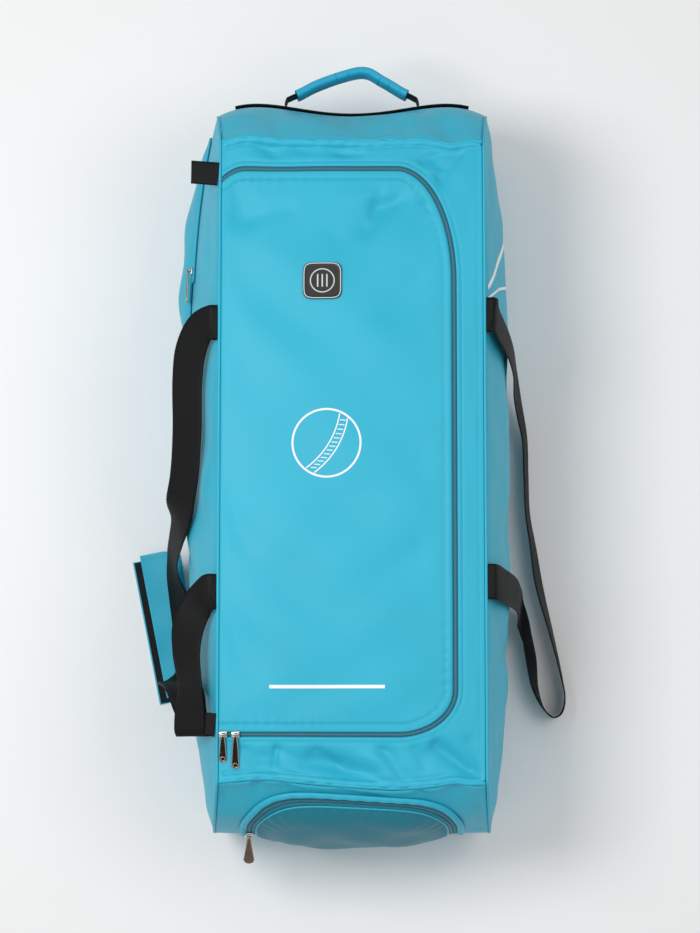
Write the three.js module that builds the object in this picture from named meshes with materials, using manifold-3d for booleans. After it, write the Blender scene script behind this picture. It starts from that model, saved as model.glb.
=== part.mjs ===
// A cricket kit bag lying on its base with the lid up. Millimetres.
// X runs across the bag, +Y points to the carry handle, +Z up; the floor is z = 0.
import * as THREE from 'three';
import { mergeVertices } from 'three/addons/utils/BufferGeometryUtils.js';
import Module from 'manifold-3d';

const wasm = await Module();
wasm.setup();

// Main body
const deckWidth = 346;
const baseWidth = 372;
const seamHeight = 328;
const handleReach = 492;
const pocketReach = 484;
const leftBulge = 38;
const rightBulge = 29;
const cornerFill = 5;
const deckCrown = 11;
const handleEndBulge = 14;
const pocketEndBulge = 4;
const cloth = 2;
const seat = 0.3;
const weltRadius = 2;
const foldTrim = 1.5;

// Lid opening and its zip
const lidRight = 133;
const lidTop = 384;
const lidBottom = -353;
const lidCornerAcross = 74;
const lidTopCorner = 148;
const lidBottomCorner = 57;
const lidFlange = 20;
const zipDip = 14;
const zipDipRun = 30;
const runSteps = 10;
const zipSlot = 7;
const zipCoil = 5.2;
const zipTape = 22;
const tapeThickness = 1;

// Pockets
const sidePocketLength = 296;
const sidePocketHeight = 150;
const sidePocketAlong = 318;
const sidePocketMiddle = 135;
const sidePocketBulge = 12;
const sideZipStart = 258;
const endPocketWidth = 254;
const endPocketHeight = 214;
const endPocketMiddle = 188;
const endPocketBulge = 14;
const pocketZipWidth = 15;

// Carry straps, their seams on the deck edge and the wrap on the left one
const strapWidth = 46;
const strapThickness = 1.8;
const rightStrapUpper = 191;
const rightStrapLower = -157;
const leftStrapUpper = 181;
const leftStrapLower = -170;
const wrapLength = 205;
const wrapBackWidth = 68;
const wrapFrontWidth = 56;
const wrapCloth = 2.2;
const wrapStandOff = 59;
const wrapStart = -98;
const wrapSlant = 0.2;
const fastenerWidth = 34;
const fastenerThickness = 1.2;

// Webbing tabs on the left seam
const tabReach = 36;
const tabWidth = 30;
const lowerTabReach = 13;

// Haul handle
const handleHeight = 190;
const anchorLength = 318;
const haulWebbing = 25;
const haulThickness = 2;
const haulSpan = 182;
const gripSpan = 160;
const gripFoot = 13;
const gripRise = 34;
const gripDepth = 13;
const gripHeight = 33;

// Rubber badge
const badgeAcross = -38.5;
const badgeAlong = 234;
const badgeWidth = 50.5;
const badgeLength = 49;
const badgeThickness = 2.2;
const badgeCorner = 7;

// Sliders and pulls
const sliderLength = 11;
const sliderWidth = 10;
const sliderThickness = 3.2;
const bailRadius = 1;
const bailRise = 3.2;
const eyeClearance = 0.35;
const eyeWall = 1.1;
const eyeWidth = 5;
const pullThickness = 1.6;
const pullALength = 36;
const pullBLength = 44;
const sidePullLength = 44;
const endPullLength = 45;
const pullNeck = 6;
const pullFoot = 9;
const pullRim = 2;
const endPullFoot = 13;
const endPullRim = 3.2;
const endPullLift = 0.7;

const lidHalf = deckWidth / 2 - weltRadius - seat;
const SLIDER_A = { across: -lidHalf + sliderLength / 2 + seat };
const SLIDER_B = { across: SLIDER_A.across + sliderLength + 5 };

// How far each end stands out at each share of the height, as a share of its reach
const END_PROFILE = [
  { height: 0, reach: 0.955 },
  { height: 0.12, reach: 0.985 },
  { height: 0.45, reach: 1 },
  { height: 0.8, reach: 0.95 },
  { height: 1, reach: 0.858 },
];

// Dents and creases: ends as shares of the half width and half length, depth as a share of the
// crown, spread as a share of the deck width. A dent has a positive depth.
const DECK_FOLDS = [
  { from: [0.62, 0.93], to: [0.2, 0.8], depth: 0.42, spread: 0.045 },
  { from: [0.3, 0.83], to: [-0.1, 0.7], depth: 0.3, spread: 0.06 },
  { from: [-0.42, 0.96], to: [-0.36, 0.9], depth: 0.5, spread: 0.06 },
  { from: [-0.66, 0.96], to: [-0.6, 0.9], depth: 0.5, spread: 0.05 },
  { from: [-0.1, 0.97], to: [-0.06, 0.92], depth: 0.4, spread: 0.05 },
  { from: [-0.9, 0.84], to: [-0.85, 0.76], depth: 0.35, spread: 0.06 },
  { from: [-0.66, -0.89], to: [-0.6, -0.97], depth: 0.45, spread: 0.04 },
  { from: [-0.3, -0.9], to: [-0.02, -0.96], depth: 0.5, spread: 0.05 },
  { from: [0.12, -0.9], to: [0.3, -0.97], depth: -0.4, spread: 0.04 },
  { from: [0.6, -0.9], to: [0.92, -0.97], depth: 0.45, spread: 0.05 },
];

// Vertical and slanting folds of the side walls: ends as shares of the half length and of the
// height, depth as a share of the bulge, spread as a share of the seam height
const RIGHT_FOLDS = [
  { from: [0.9, 0.92], to: [0.72, 0.3], depth: 0.16, spread: 0.09 },
  { from: [0.3, 0.9], to: [0.22, 0.35], depth: 0.12, spread: 0.1 },
  { from: [-0.12, 0.88], to: [-0.2, 0.2], depth: 0.1, spread: 0.12 },
  { from: [-0.45, 0.9], to: [-0.55, 0.35], depth: 0.18, spread: 0.08 },
  { from: [-0.75, 0.9], to: [-0.88, 0.4], depth: 0.18, spread: 0.09 },
  { from: [0.6, 0.15], to: [-0.1, 0.12], depth: 0.12, spread: 0.08 },
];
const LEFT_FOLDS = [
  { from: [0.05, 0.86], to: [-0.05, 0.3], depth: 0.12, spread: 0.1 },
  { from: [-0.3, 0.86], to: [-0.34, 0.25], depth: 0.12, spread: 0.1 },
  { from: [-0.6, 0.88], to: [-0.72, 0.3], depth: 0.16, spread: 0.09 },
  { from: [-0.85, 0.86], to: [-0.9, 0.4], depth: 0.16, spread: 0.09 },
];

// Slack at the end walls' lower corners: ends as shares of the half width and the height, depth
// as a share of the handle end's bulge, spread as a share of the seam height
const END_FOLDS = [
  { from: [-0.9, 0.3], to: [-0.55, 0.12], depth: 0.35, spread: 0.1 },
  { from: [0.9, 0.34], to: [0.5, 0.12], depth: 0.35, spread: 0.1 },
];

// The right strap: y as a share of the pocket reach, z of the seam height, and how far it stands
// off the side wall as a share of its width; across is the direction of its width
const RIGHT_STRAP = [
  { along: 0.37, height: 0.925, off: 0.24, across: [0, 0.97, -0.25] },
  { along: 0.348, height: 0.8, off: 0.2, across: [0, 0.9, -0.44] },
  { along: 0.312, height: 0.585, off: 0.2, across: [0, 0.93, -0.36] },
  { along: 0.27, height: 0.345, off: 0.36, across: [0.1, 0.88, -0.46] },
  { along: 0.208, height: 0.158, off: 0.8, across: [0.15, 0.62, -0.76] },
  { along: 0.13, height: 0.088, off: 1.1, across: [0.2, 0.22, -0.95] },
  { along: 0.03, height: 0.077, off: 1.16, across: [0.2, 0, -1] },
  { along: -0.085, height: 0.077, off: 1.2, across: [0.2, 0, -1] },
  { along: -0.19, height: 0.077, off: 1.36, across: [0.25, 0, -1] },
  { along: -0.296, height: 0.077, off: 1.52, across: [0.3, 0, -1] },
  { along: -0.434, height: 0.077, off: 1.88, across: [0.2, 0, -1] },
  { along: -0.56, height: 0.077, off: 2.2, across: [0.12, 0, -1] },
  { along: -0.63, height: 0.077, off: 2.32, across: [0.08, 0, -1] },
  { along: -0.672, height: 0.077, off: 2.2, across: [0.05, 0, -1] },
  { along: -0.682, height: 0.077, off: 1.98, across: [0.05, 0, -1] },
  { along: -0.66, height: 0.077, off: 1.7, across: [0.1, 0, -1] },
  { along: -0.6, height: 0.076, off: 1.42, across: [0.25, 0, -1] },
  { along: -0.51, height: 0.075, off: 1.28, across: [0.4, 0, -1] },
  { along: -0.436, height: 0.086, off: 1.1, across: [0.35, -0.15, -0.92] },
  { along: -0.388, height: 0.18, off: 0.72, across: [0.2, 0.5, -0.78] },
  { along: -0.364, height: 0.4, off: 0.36, across: [0.1, 0.9, -0.42] },
  { along: -0.346, height: 0.65, off: 0.24, across: [0, 0.97, -0.2] },
  { along: -0.334, height: 0.87, off: 0.24, across: [0, 0.99, -0.1] },
];

const LEFT_STRAP = [
  { along: 0.36, height: 0.962, off: 0.42, across: [-0.5, 0.84, -0.2] },
  { along: 0.306, height: 0.925, off: 0.56, across: [-0.86, 0.3, -0.4] },
  { along: 0.228, height: 0.893, off: 0.56, across: [-0.86, 0, -0.5] },
  { along: 0.1, height: 0.862, off: 0.5, across: [-0.84, 0, -0.54] },
  { along: -0.02, height: 0.83, off: 0.48, across: [-0.82, 0, -0.57] },
  { along: -0.1, height: 0.77, off: 0.46, across: [-0.75, 0.05, -0.65] },
  { along: -0.168, height: 0.62, off: 0.36, across: [-0.35, 0.4, -0.85] },
  { along: -0.212, height: 0.4, off: 0.5, across: [-0.25, 0.62, -0.74] },
  { along: -0.256, height: 0.2, off: 0.84, across: [-0.35, 0.42, -0.84] },
  { along: -0.32, height: 0.1, off: 1, across: [-0.6, 0.1, -0.79] },
  { along: -0.41, height: 0.082, off: 0.92, across: [-0.64, 0, -0.77] },
  { along: -0.49, height: 0.066, off: 0.78, across: [-0.84, 0, -0.54] },
  { along: -0.545, height: 0.085, off: 0.62, across: [-0.98, 0, -0.2] },
  { along: -0.575, height: 0.2, off: 0.56, across: [-1, 0, -0.1] },
  { along: -0.585, height: 0.42, off: 0.54, across: [-1, 0, -0.1] },
  { along: -0.59, height: 0.64, off: 0.54, across: [-1, 0, -0.15] },
  { along: -0.605, height: 0.79, off: 0.53, across: [-0.98, 0, -0.25] },
  { along: -0.642, height: 0.868, off: 0.5, across: [-0.92, 0, -0.4] },
  { along: -0.682, height: 0.89, off: 0.46, across: [-0.88, 0, -0.46] },
  { along: -0.721, height: 0.903, off: 0.44, across: [-0.88, 0, -0.46] },
  { along: -0.733, height: 0.916, off: 0.51, across: [-0.88, 0, -0.46] },
  { along: -0.721, height: 0.93, off: 0.59, across: [-0.88, 0, -0.46] },
  { along: -0.668, height: 0.932, off: 0.6, across: [-0.84, 0, -0.54] },
  { along: -0.6, height: 0.934, off: 0.6, across: [-0.7, 0, -0.71] },
  { along: -0.51, height: 0.936, off: 0.68, across: [-0.8, 0.05, -0.6] },
  { along: -0.44, height: 0.945, off: 0.64, across: [-0.84, 0.3, -0.36] },
  { along: -0.385, height: 0.962, off: 0.44, across: [-0.5, 0.84, -0.2] },
];

const TEAL = 0x3fb6d6;
const WEBBING = 0x14171c;

const lerp = THREE.MathUtils.lerp;
const smooth = THREE.MathUtils.smoothstep;
const vec = (x, y, z) => new THREE.Vector3(x, y, z);
const shares = (n) => Array.from({ length: n + 1 }, (_, i) => i / n);

// Smooth value of a column at a share, through the rows of a table
function between(rows, key, column, share) {
  const last = rows.length - 1;
  let i = rows.findIndex((row) => row[key] >= share) - 1;
  if (i < 0) i = share <= rows[0][key] ? 0 : last - 1;
  const t = (share - rows[i][key]) / (rows[i + 1][key] - rows[i][key]);
  const slope = (k) => {
    const a = Math.max(k - 1, 0);
    const b = Math.min(k + 1, last);
    return (rows[b][column] - rows[a][column]) / (rows[b][key] - rows[a][key]);
  };
  const step = rows[i + 1][key] - rows[i][key];
  const h = t * t * (3 - 2 * t);
  const tangentA = step * slope(i) * (t * t * t - 2 * t * t + t);
  const tangentB = step * slope(i + 1) * (t * t * t - t * t);
  return lerp(rows[i][column], rows[i + 1][column], h) + tangentA + tangentB;
}

// Summed depth of the folds at a place given in the same shares as the table
function folding(folds, a, b, scaleA, scaleB, spreadSize) {
  let depth = 0;
  for (const fold of folds) {
    const ax = fold.from[0] * scaleA;
    const ay = fold.from[1] * scaleB;
    const dx = fold.to[0] * scaleA - ax;
    const dy = fold.to[1] * scaleB - ay;
    const t = THREE.MathUtils.clamp(
      ((a * scaleA - ax) * dx + (b * scaleB - ay) * dy) / (dx * dx + dy * dy), 0, 1);
    const gap = Math.hypot(a * scaleA - ax - t * dx, b * scaleB - ay - t * dy);
    depth += fold.depth * Math.exp(-((gap / (fold.spread * spreadSize)) ** 2));
  }
  return depth;
}

const heightAt = (v) => weltRadius + v * (seamHeight - weltRadius);
const shareAt = (z) => (z - weltRadius) / (seamHeight - weltRadius);
const endShare = (v) => between(END_PROFILE, 'height', 'reach', v);
const cornerHalf = (v) => lerp(baseWidth, deckWidth, v) / 2 + cornerFill * 4 * v * (1 - v);

// Middle of the side wall's cloth: side is -1 or 1, u runs -1 to 1 along the bag, v up it
function sideSurface(side, u, v) {
  const fullness = 4 * v * (1 - v) * (1 - Math.abs(u) ** 3.5);
  const bulge = side < 0 ? leftBulge : rightBulge;
  const folds = side < 0 ? LEFT_FOLDS : RIGHT_FOLDS;
  const crease = folding(folds, u, v, handleReach, seamHeight, seamHeight);
  const x = cornerHalf(v) + bulge * fullness * (1 - crease);
  const reach = u < 0 ? pocketReach : handleReach;
  return vec(side * x, u * reach * endShare(v), heightAt(v));
}

// Middle of the end wall's cloth: end is -1 for the pocket end, 1 for the handle end, which
// swells at both sides of its middle
function endSurface(end, s, v) {
  const reach = end < 0 ? pocketReach : handleReach;
  const bulge = end < 0 ? pocketEndBulge : handleEndBulge;
  const swell = end < 0 ? 1 : 4 * s * s;
  const fullness = swell * (1 - s * s) * (0.3 + 2.8 * v * (1 - v));
  const crease = folding(END_FOLDS, s, v, deckWidth / 2, seamHeight, seamHeight);
  const fade = (1 - s * s) * 4 * v * (1 - v);
  const y = reach * endShare(v) + bulge * fullness - handleEndBulge * crease * fade;
  return vec(s * cornerHalf(v), end * y, heightAt(v));
}

const ridge = (end, x) => Math.abs(endSurface(end, x / cornerHalf(1), 1).y);

// The middle line of the lid zip, from the left seam round the D and back to it
function lidOutline() {
  const line = [];
  const start = -lidHalf;
  const turn = lidRight - lidCornerAcross;
  const dip = (x) => zipDip * Math.max(0, 1 - (x - start) / zipDipRun) ** 2;
  for (const t of shares(runSteps)) {
    const x = lerp(start, turn, t);
    line.push({ x, y: lidTop - dip(x), nx: 0, ny: 1, part: 'top', t });
  }
  const quarter = (count, bottom) => {
    for (const t of shares(count).slice(1)) {
      const angle = (bottom ? t : 1 - t) * Math.PI / 2;
      const c = Math.cos(angle);
      const s = Math.sin(angle) * (bottom ? -1 : 1);
      const along = bottom ? lidBottomCorner : lidTopCorner;
      const centre = bottom ? lidBottom + along : lidTop - along;
      const n = Math.hypot(c / lidCornerAcross, s / along);
      line.push({ x: turn + lidCornerAcross * c, y: centre + along * s,
        nx: c / lidCornerAcross / n, ny: s / along / n, part: bottom ? 'low' : 'high', t });
    }
  };
  quarter(8, false);
  for (const t of shares(12).slice(1)) {
    const y = lerp(lidTop - lidTopCorner, lidBottom + lidBottomCorner, t);
    line.push({ x: lidRight, y, nx: 1, ny: 0, part: 'right', t });
  }
  quarter(8, true);
  for (const t of shares(runSteps).slice(1)) {
    const x = lerp(turn, start, t);
    line.push({ x, y: lidBottom, nx: 0, ny: -1, part: 'bottom', t });
  }
  return line;
}
const OUTLINE = lidOutline();

function outlineGap(x, y) {
  let least = Infinity;
  for (let i = 1; i < OUTLINE.length; i += 1) {
    const a = OUTLINE[i - 1];
    const b = OUTLINE[i];
    const dx = b.x - a.x;
    const dy = b.y - a.y;
    const t = THREE.MathUtils.clamp(((x - a.x) * dx + (y - a.y) * dy) / (dx * dx + dy * dy), 0, 1);
    least = Math.min(least, Math.hypot(x - a.x - t * dx, y - a.y - t * dy));
  }
  return least;
}

// Middle of the top's cloth at a place on the deck
function deckSurface(x, y) {
  const end = y < 0 ? -1 : 1;
  const s = THREE.MathUtils.clamp(x / (deckWidth / 2), -1, 1);
  const t = THREE.MathUtils.clamp(Math.abs(y) / ridge(end, x), 0, 1);
  const edge = (1 - s * s) * (1 - t ** 4);
  const onLid = x < lidRight && y < lidTop && y > lidBottom;
  const flatEdge = zipTape / 2 + (onLid ? lidFlange : 2);
  const clear = smooth(outlineGap(x, y), flatEdge, flatEdge + lidFlange);
  const reach = end < 0 ? pocketReach : handleReach;
  const crease = folding(DECK_FOLDS, s, end * t, deckWidth / 2, reach * END_PROFILE[4].reach, deckWidth);
  const border = smooth(1 - t, 0, 0.04) * smooth(1 - Math.abs(s), 0, 0.1);
  return vec(x, y, seamHeight + deckCrown * (edge - crease * clear * border));
}

function normalOf(surface, a, b, da, db) {
  const alongA = surface(a + da, b).sub(surface(a - da, b));
  const alongB = surface(a, b + db).sub(surface(a, b - db));
  return alongA.cross(alongB).normalize();
}

// Closes a list of points and triangles into a geometry with its faces out
function closed(points, triangles) {
  const geometry = new THREE.BufferGeometry();
  geometry.setAttribute('position', new THREE.Float32BufferAttribute(points.flatMap((p) => p.toArray()), 3));
  let volume = 0;
  for (const [a, b, c] of triangles) {
    volume += points[a].dot(points[b].clone().cross(points[c]));
  }
  geometry.setIndex(triangles.flatMap((t) => (volume < 0 ? [t[0], t[2], t[1]] : t)));
  geometry.computeVertexNormals();
  return geometry;
}

// A cloth wall over a grid of middle points, with the normal at each
function wall(grid, normals, thickness) {
  const rows = grid.length;
  const columns = grid[0].length;
  const points = [];
  for (const sign of [0.5, -0.5]) {
    grid.forEach((row, i) => row.forEach((p, j) => {
      points.push(p.clone().addScaledVector(normals[i][j], sign * thickness));
    }));
  }
  const at = (layer, i, j) => (layer * rows + i) * columns + j;
  const triangles = [];
  const quad = (a, b, c, d) => triangles.push([a, b, c], [a, c, d]);
  for (let i = 0; i < rows - 1; i += 1) {
    for (let j = 0; j < columns - 1; j += 1) {
      quad(at(0, i, j), at(0, i, j + 1), at(0, i + 1, j + 1), at(0, i + 1, j));
      quad(at(1, i, j), at(1, i + 1, j), at(1, i + 1, j + 1), at(1, i, j + 1));
    }
  }
  for (let j = 0; j < columns - 1; j += 1) {
    quad(at(0, 0, j + 1), at(0, 0, j), at(1, 0, j), at(1, 0, j + 1));
    quad(at(0, rows - 1, j), at(0, rows - 1, j + 1), at(1, rows - 1, j + 1), at(1, rows - 1, j));
  }
  for (let i = 0; i < rows - 1; i += 1) {
    quad(at(0, i, 0), at(0, i + 1, 0), at(1, i + 1, 0), at(1, i, 0));
    quad(at(0, i + 1, columns - 1), at(0, i, columns - 1), at(1, i, columns - 1), at(1, i + 1, columns - 1));
  }
  return closed(points, triangles);
}

// A solid swept through stations: the outline is [a, h] pairs, place puts one at a station
function sweep(outline, stations, place, ring = false) {
  const n = outline.length;
  const points = [];
  for (let k = 0; k < stations; k += 1) {
    for (const [a, h] of outline) points.push(place(k, a, h));
  }
  const triangles = [];
  const steps = ring ? stations : stations - 1;
  for (let k = 0; k < steps; k += 1) {
    const next = (k + 1) % stations;
    for (let j = 0; j < n; j += 1) {
      const i = (j + 1) % n;
      triangles.push([k * n + j, k * n + i, next * n + i], [k * n + j, next * n + i, next * n + j]);
    }
  }
  if (!ring) {
    const flat = outline.map(([a, h]) => new THREE.Vector2(a, h));
    const turned = THREE.ShapeUtils.isClockWise(flat);
    for (const [a, b, c] of THREE.ShapeUtils.triangulateShape(flat, [])) {
      const cap = turned ? [a, b, c] : [a, c, b];
      const last = (stations - 1) * n;
      triangles.push(turned ? [cap[0], cap[1], cap[2]] : cap);
      triangles.push([last + cap[0], last + cap[2], last + cap[1]]);
    }
    if (turned) {
      const side = steps * n * 2;
      for (let i = side; i < triangles.length; i += 1) triangles[i].reverse();
    }
  }
  return closed(points, triangles);
}

function solidOf(geometry) {
  const bare = geometry.index ? geometry.toNonIndexed() : geometry.clone();
  bare.deleteAttribute('normal');
  bare.deleteAttribute('uv');
  const merged = mergeVertices(bare, 1e-4);
  return new wasm.Manifold(new wasm.Mesh({
    numProp: 3,
    vertProperties: new Float32Array(merged.attributes.position.array),
    triVerts: new Uint32Array(merged.index.array),
  }));
}

function geometryOf(solid) {
  const mesh = solid.getMesh();
  const geometry = new THREE.BufferGeometry();
  geometry.setAttribute('position', new THREE.BufferAttribute(new Float32Array(mesh.vertProperties), 3));
  geometry.setIndex(new THREE.BufferAttribute(new Uint32Array(mesh.triVerts), 1));
  geometry.computeVertexNormals();
  return geometry;
}

const join = (...geometries) => geometryOf(geometries.map(solidOf).reduce((a, b) => a.add(b)));

const bag = new THREE.Group();
bag.name = 'kit_bag';

function piece(name, geometry, color, roughness, metalness = 0) {
  const material = new THREE.MeshStandardMaterial({ color, roughness, metalness });
  const mesh = new THREE.Mesh(geometry, material);
  mesh.name = name;
  bag.add(mesh);
  return mesh;
}

const box = (a, b) => [[-a / 2, -b / 2], [a / 2, -b / 2], [a / 2, b / 2], [-a / 2, b / 2]];

// Side walls, end walls and base
const trimV = (weltRadius + seat) / (seamHeight - weltRadius);
const foldV = foldTrim / (seamHeight - weltRadius);
const V = shares(9).map((t) => lerp(1.1 * trimV, 1 - 1.1 * trimV, t));
// The last of the cloth beside the welt at an end, where the end wall slopes
function lastShare(end, v) {
  const reach = end < 0 ? pocketReach : handleReach;
  const rise = reach * (endShare(v + 0.01) - endShare(v - 0.01)) / (0.02 * seamHeight);
  return end * (1 - 1.1 * (weltRadius + seat) * Math.hypot(1, rise) / reach / endShare(v));
}
const rowU = (v) => shares(26).map((t) => lerp(lastShare(-1, v), lastShare(1, v), t));

for (const side of [-1, 1]) {
  const surface = (u, v) => sideSurface(side, u, v);
  const grid = V.map((v) => rowU(v).map((u) => surface(u, v)));
  const normals = V.map((v) => rowU(v).map((u) => normalOf(surface, u, v, 0.01, 0.01)));
  piece(side < 0 ? 'left_side_panel' : 'right_side_panel', wall(grid, normals, cloth), TEAL, 0.62);
}

for (const end of [-1, 1]) {
  const surface = (s, v) => endSurface(end, s, v);
  const rows = shares(9).map((t) => lerp(1.2 * foldV, 1 - foldV, t));
  const columns = (v) => shares(22).map((t) => {
    const edge = 1 - (weltRadius + seat) / cornerHalf(v);
    return lerp(-edge, edge, t);
  });
  const grid = rows.map((v) => columns(v).map((s) => surface(s, v)));
  const normals = rows.map((v) => columns(v).map((s) => normalOf(surface, s, v, 0.01, 0.01)));
  piece(end < 0 ? 'pocket_end_panel' : 'handle_end_panel', wall(grid, normals, cloth), TEAL, 0.62);
}

// The base lies flat on the floor, its ends following the end walls
{
  const half = baseWidth / 2 - weltRadius - seat;
  const outline = (end) => shares(14).map((t) => {
    const x = lerp(-half, half, t);
    const y = endSurface(end, x / cornerHalf(0), 0).y;
    return vec(x, y - end * (foldTrim + 0.6), cloth / 2);
  });
  const near = outline(-1);
  const far = outline(1);
  const grid = shares(4).map((t) => near.map((p, j) => p.clone().lerp(far[j], t)));
  const normals = grid.map((row) => row.map(() => vec(0, 0, 1)));
  piece('base_panel', wall(grid, normals, cloth), TEAL, 0.7);
}

// Corded seams: one ring round each side wall
for (const side of [-1, 1]) {
  const path = [
    ...[-1, ...rowU(1), 1].map((u) => sideSurface(side, u, 1)),
    ...[...V].reverse().map((v) => sideSurface(side, 1, v)),
    ...[1, ...rowU(0).reverse(), -1].map((u) => sideSurface(side, u, 0)),
    ...V.map((v) => sideSurface(side, -1, v)),
  ];
  const count = path.length;
  const round = shares(8).slice(0, 8).map((t) => {
    const angle = t * Math.PI * 2;
    return [Math.cos(angle), Math.sin(angle)];
  });
  const place = (k, a, h) => {
    const ahead = path[(k + 1) % count].clone().sub(path[k]).normalize();
    const behind = path[k].clone().sub(path[(k + count - 1) % count]).normalize();
    const tangent = ahead.clone().add(behind).normalize();
    const out = vec(side, 0, 0);
    const across = out.clone().addScaledVector(tangent, -out.dot(tangent)).normalize();
    const other = tangent.clone().cross(across);
    return path[k].clone().addScaledVector(across, a * weltRadius).addScaledVector(other, h * weltRadius);
  };
  const name = side < 0 ? 'seam_welt_left' : 'seam_welt_right';
  piece(name, sweep(round, count, place, true), TEAL, 0.6);
}

// Lid: rows across, from the left seam to the zip
const deckNormal = (x, y) => normalOf(deckSurface, x, y, 1, 1);
{
  const half = zipSlot / 2;
  const turn = lidRight - lidCornerAcross;
  const across = lidCornerAcross - half;
  const rows = [];
  for (const t of shares(6).slice(0, 6)) {
    const angle = (1 - t) * Math.PI / 2;
    rows.push({ y: lidBottom + lidBottomCorner - (lidBottomCorner - half) * Math.sin(angle),
      right: turn + across * Math.cos(angle), dip: 0 });
  }
  for (const t of shares(14)) {
    rows.push({ y: lerp(lidBottom + lidBottomCorner, lidTop - lidTopCorner, t), right: lidRight - half, dip: 0 });
  }
  for (const t of shares(8).slice(1)) {
    const angle = t * Math.PI / 2;
    rows.push({ y: lidTop - lidTopCorner + (lidTopCorner - half) * Math.sin(angle),
      right: turn + across * Math.cos(angle), dip: t ** 4 });
  }
  const places = rows.map((row) => shares(runSteps).map((t) => {
    const x = lerp(-lidHalf, row.right, t);
    const drop = zipDip * Math.max(0, 1 - (x + lidHalf) / zipDipRun) ** 2;
    return [x, row.y - drop * row.dip];
  }));
  const grid = places.map((row) => row.map(([x, y]) => deckSurface(x, y)));
  const normals = places.map((row) => row.map(([x, y]) => deckNormal(x, y)));
  piece('lid_panel', wall(grid, normals, cloth), TEAL, 0.62);
}

// The border's outer edge, opposite each place of the lid outline
function borderEdge(station) {
  const out = lidHalf;
  const turn = lidRight - lidCornerAcross;
  const top = (x) => ridge(1, x) - foldTrim;
  const low = (x) => -ridge(-1, x) + foldTrim;
  if (station.part === 'top') return [station.x, top(station.x)];
  if (station.part === 'bottom') return [station.x, low(station.x)];
  if (station.part === 'right') return [out, station.y];
  const high = station.part === 'high';
  const t = high ? station.t : 1 - station.t;
  const inner = high ? lidTop - lidTopCorner : lidBottom + lidBottomCorner;
  const corner = high ? top(out) : low(out);
  if (t <= 0.5) {
    const x = lerp(turn, out, t * 2);
    return [x, high ? top(x) : low(x)];
  }
  return [out, lerp(corner, inner, t * 2 - 1)];
}

{
  const steps = shares(4);
  const places = OUTLINE.map((station) => {
    const inner = [station.x + station.nx * zipSlot / 2, station.y + station.ny * zipSlot / 2];
    const outer = borderEdge(station);
    return steps.map((t) => [lerp(inner[0], outer[0], t), lerp(inner[1], outer[1], t)]);
  });
  const grid = places.map((row) => row.map(([x, y]) => deckSurface(x, y)));
  const normals = places.map((row) => row.map(([x, y]) => deckNormal(x, y)));
  piece('top_border_panel', wall(grid, normals, cloth), TEAL, 0.62);
}

// Lid zip: a tape under both edges with its coil standing in the slot
{
  const under = -cloth / 2 - 2 * seat;
  const outline = [
    [-zipTape / 2, under - tapeThickness], [zipTape / 2, under - tapeThickness], [zipTape / 2, under],
    [zipCoil / 2, under], [zipCoil / 2, cloth / 2 + 0.2], [-zipCoil / 2, cloth / 2 + 0.2],
    [-zipCoil / 2, under], [-zipTape / 2, under],
  ];
  const place = (k, a, h) => {
    const s = OUTLINE[k];
    const x = s.x + s.nx * a;
    const y = s.y + s.ny * a;
    return deckSurface(x, y).addScaledVector(deckNormal(x, y), h);
  };
  piece('lid_zip', sweep(outline, OUTLINE.length, place), 0x2c7489, 0.5);
}

// A pocket is a domed cloth over a rounded rectangle of a wall, open to that wall
function pocket(surface, normal, centre, half, bulge, corner, lean) {
  const rings = [1, 0.97, 0.88, 0.72, 0.5, 0.26];
  const around = 32;
  const points = [[], []];
  const outwards = (a, b, r) => {
    const rise = bulge * (1 - r ** 4) * (1 + lean * a / half[0]);
    return cloth / 2 + seat + cloth / 2 + rise;
  };
  const put = (a, b, r, layer) => {
    const p = surface(centre[0] + a, centre[1] + b);
    const n = normal(centre[0] + a, centre[1] + b);
    return p.addScaledVector(n, outwards(a, b, r) + (layer ? -cloth / 2 : cloth / 2));
  };
  for (const layer of [0, 1]) {
    for (const r of rings) {
      for (let k = 0; k < around; k += 1) {
        const angle = (k + 0.5) / around * Math.PI * 2;
        const c = Math.cos(angle);
        const s = Math.sin(angle);
        const flat = (Math.abs(c) ** corner + Math.abs(s) ** corner) ** (-1 / corner);
        const inset = layer ? 1 - cloth / 2 / Math.min(...half) : 1;
        points[layer].push(put(half[0] * c * flat * r * inset, half[1] * s * flat * r * inset, r, layer));
      }
    }
    points[layer].push(put(0, 0, 0, layer));
  }
  const size = rings.length * around + 1;
  const triangles = [];
  for (const layer of [0, 1]) {
    const at = (ring, k) => layer * size + ring * around + (k % around);
    const add = (a, b, c) => triangles.push(layer ? [a, c, b] : [a, b, c]);
    for (let k = 0; k < around; k += 1) {
      for (let ring = 0; ring < rings.length - 1; ring += 1) {
        add(at(ring, k), at(ring, k + 1), at(ring + 1, k + 1));
        add(at(ring, k), at(ring + 1, k + 1), at(ring + 1, k));
      }
      add(at(rings.length - 1, k), at(rings.length - 1, k + 1), layer * size + size - 1);
    }
  }
  for (let k = 0; k < around; k += 1) {
    const next = (k + 1) % around;
    triangles.push([next, k, size + k], [next, size + k, size + next]);
  }
  return closed([...points[0], ...points[1]], triangles);
}

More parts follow.
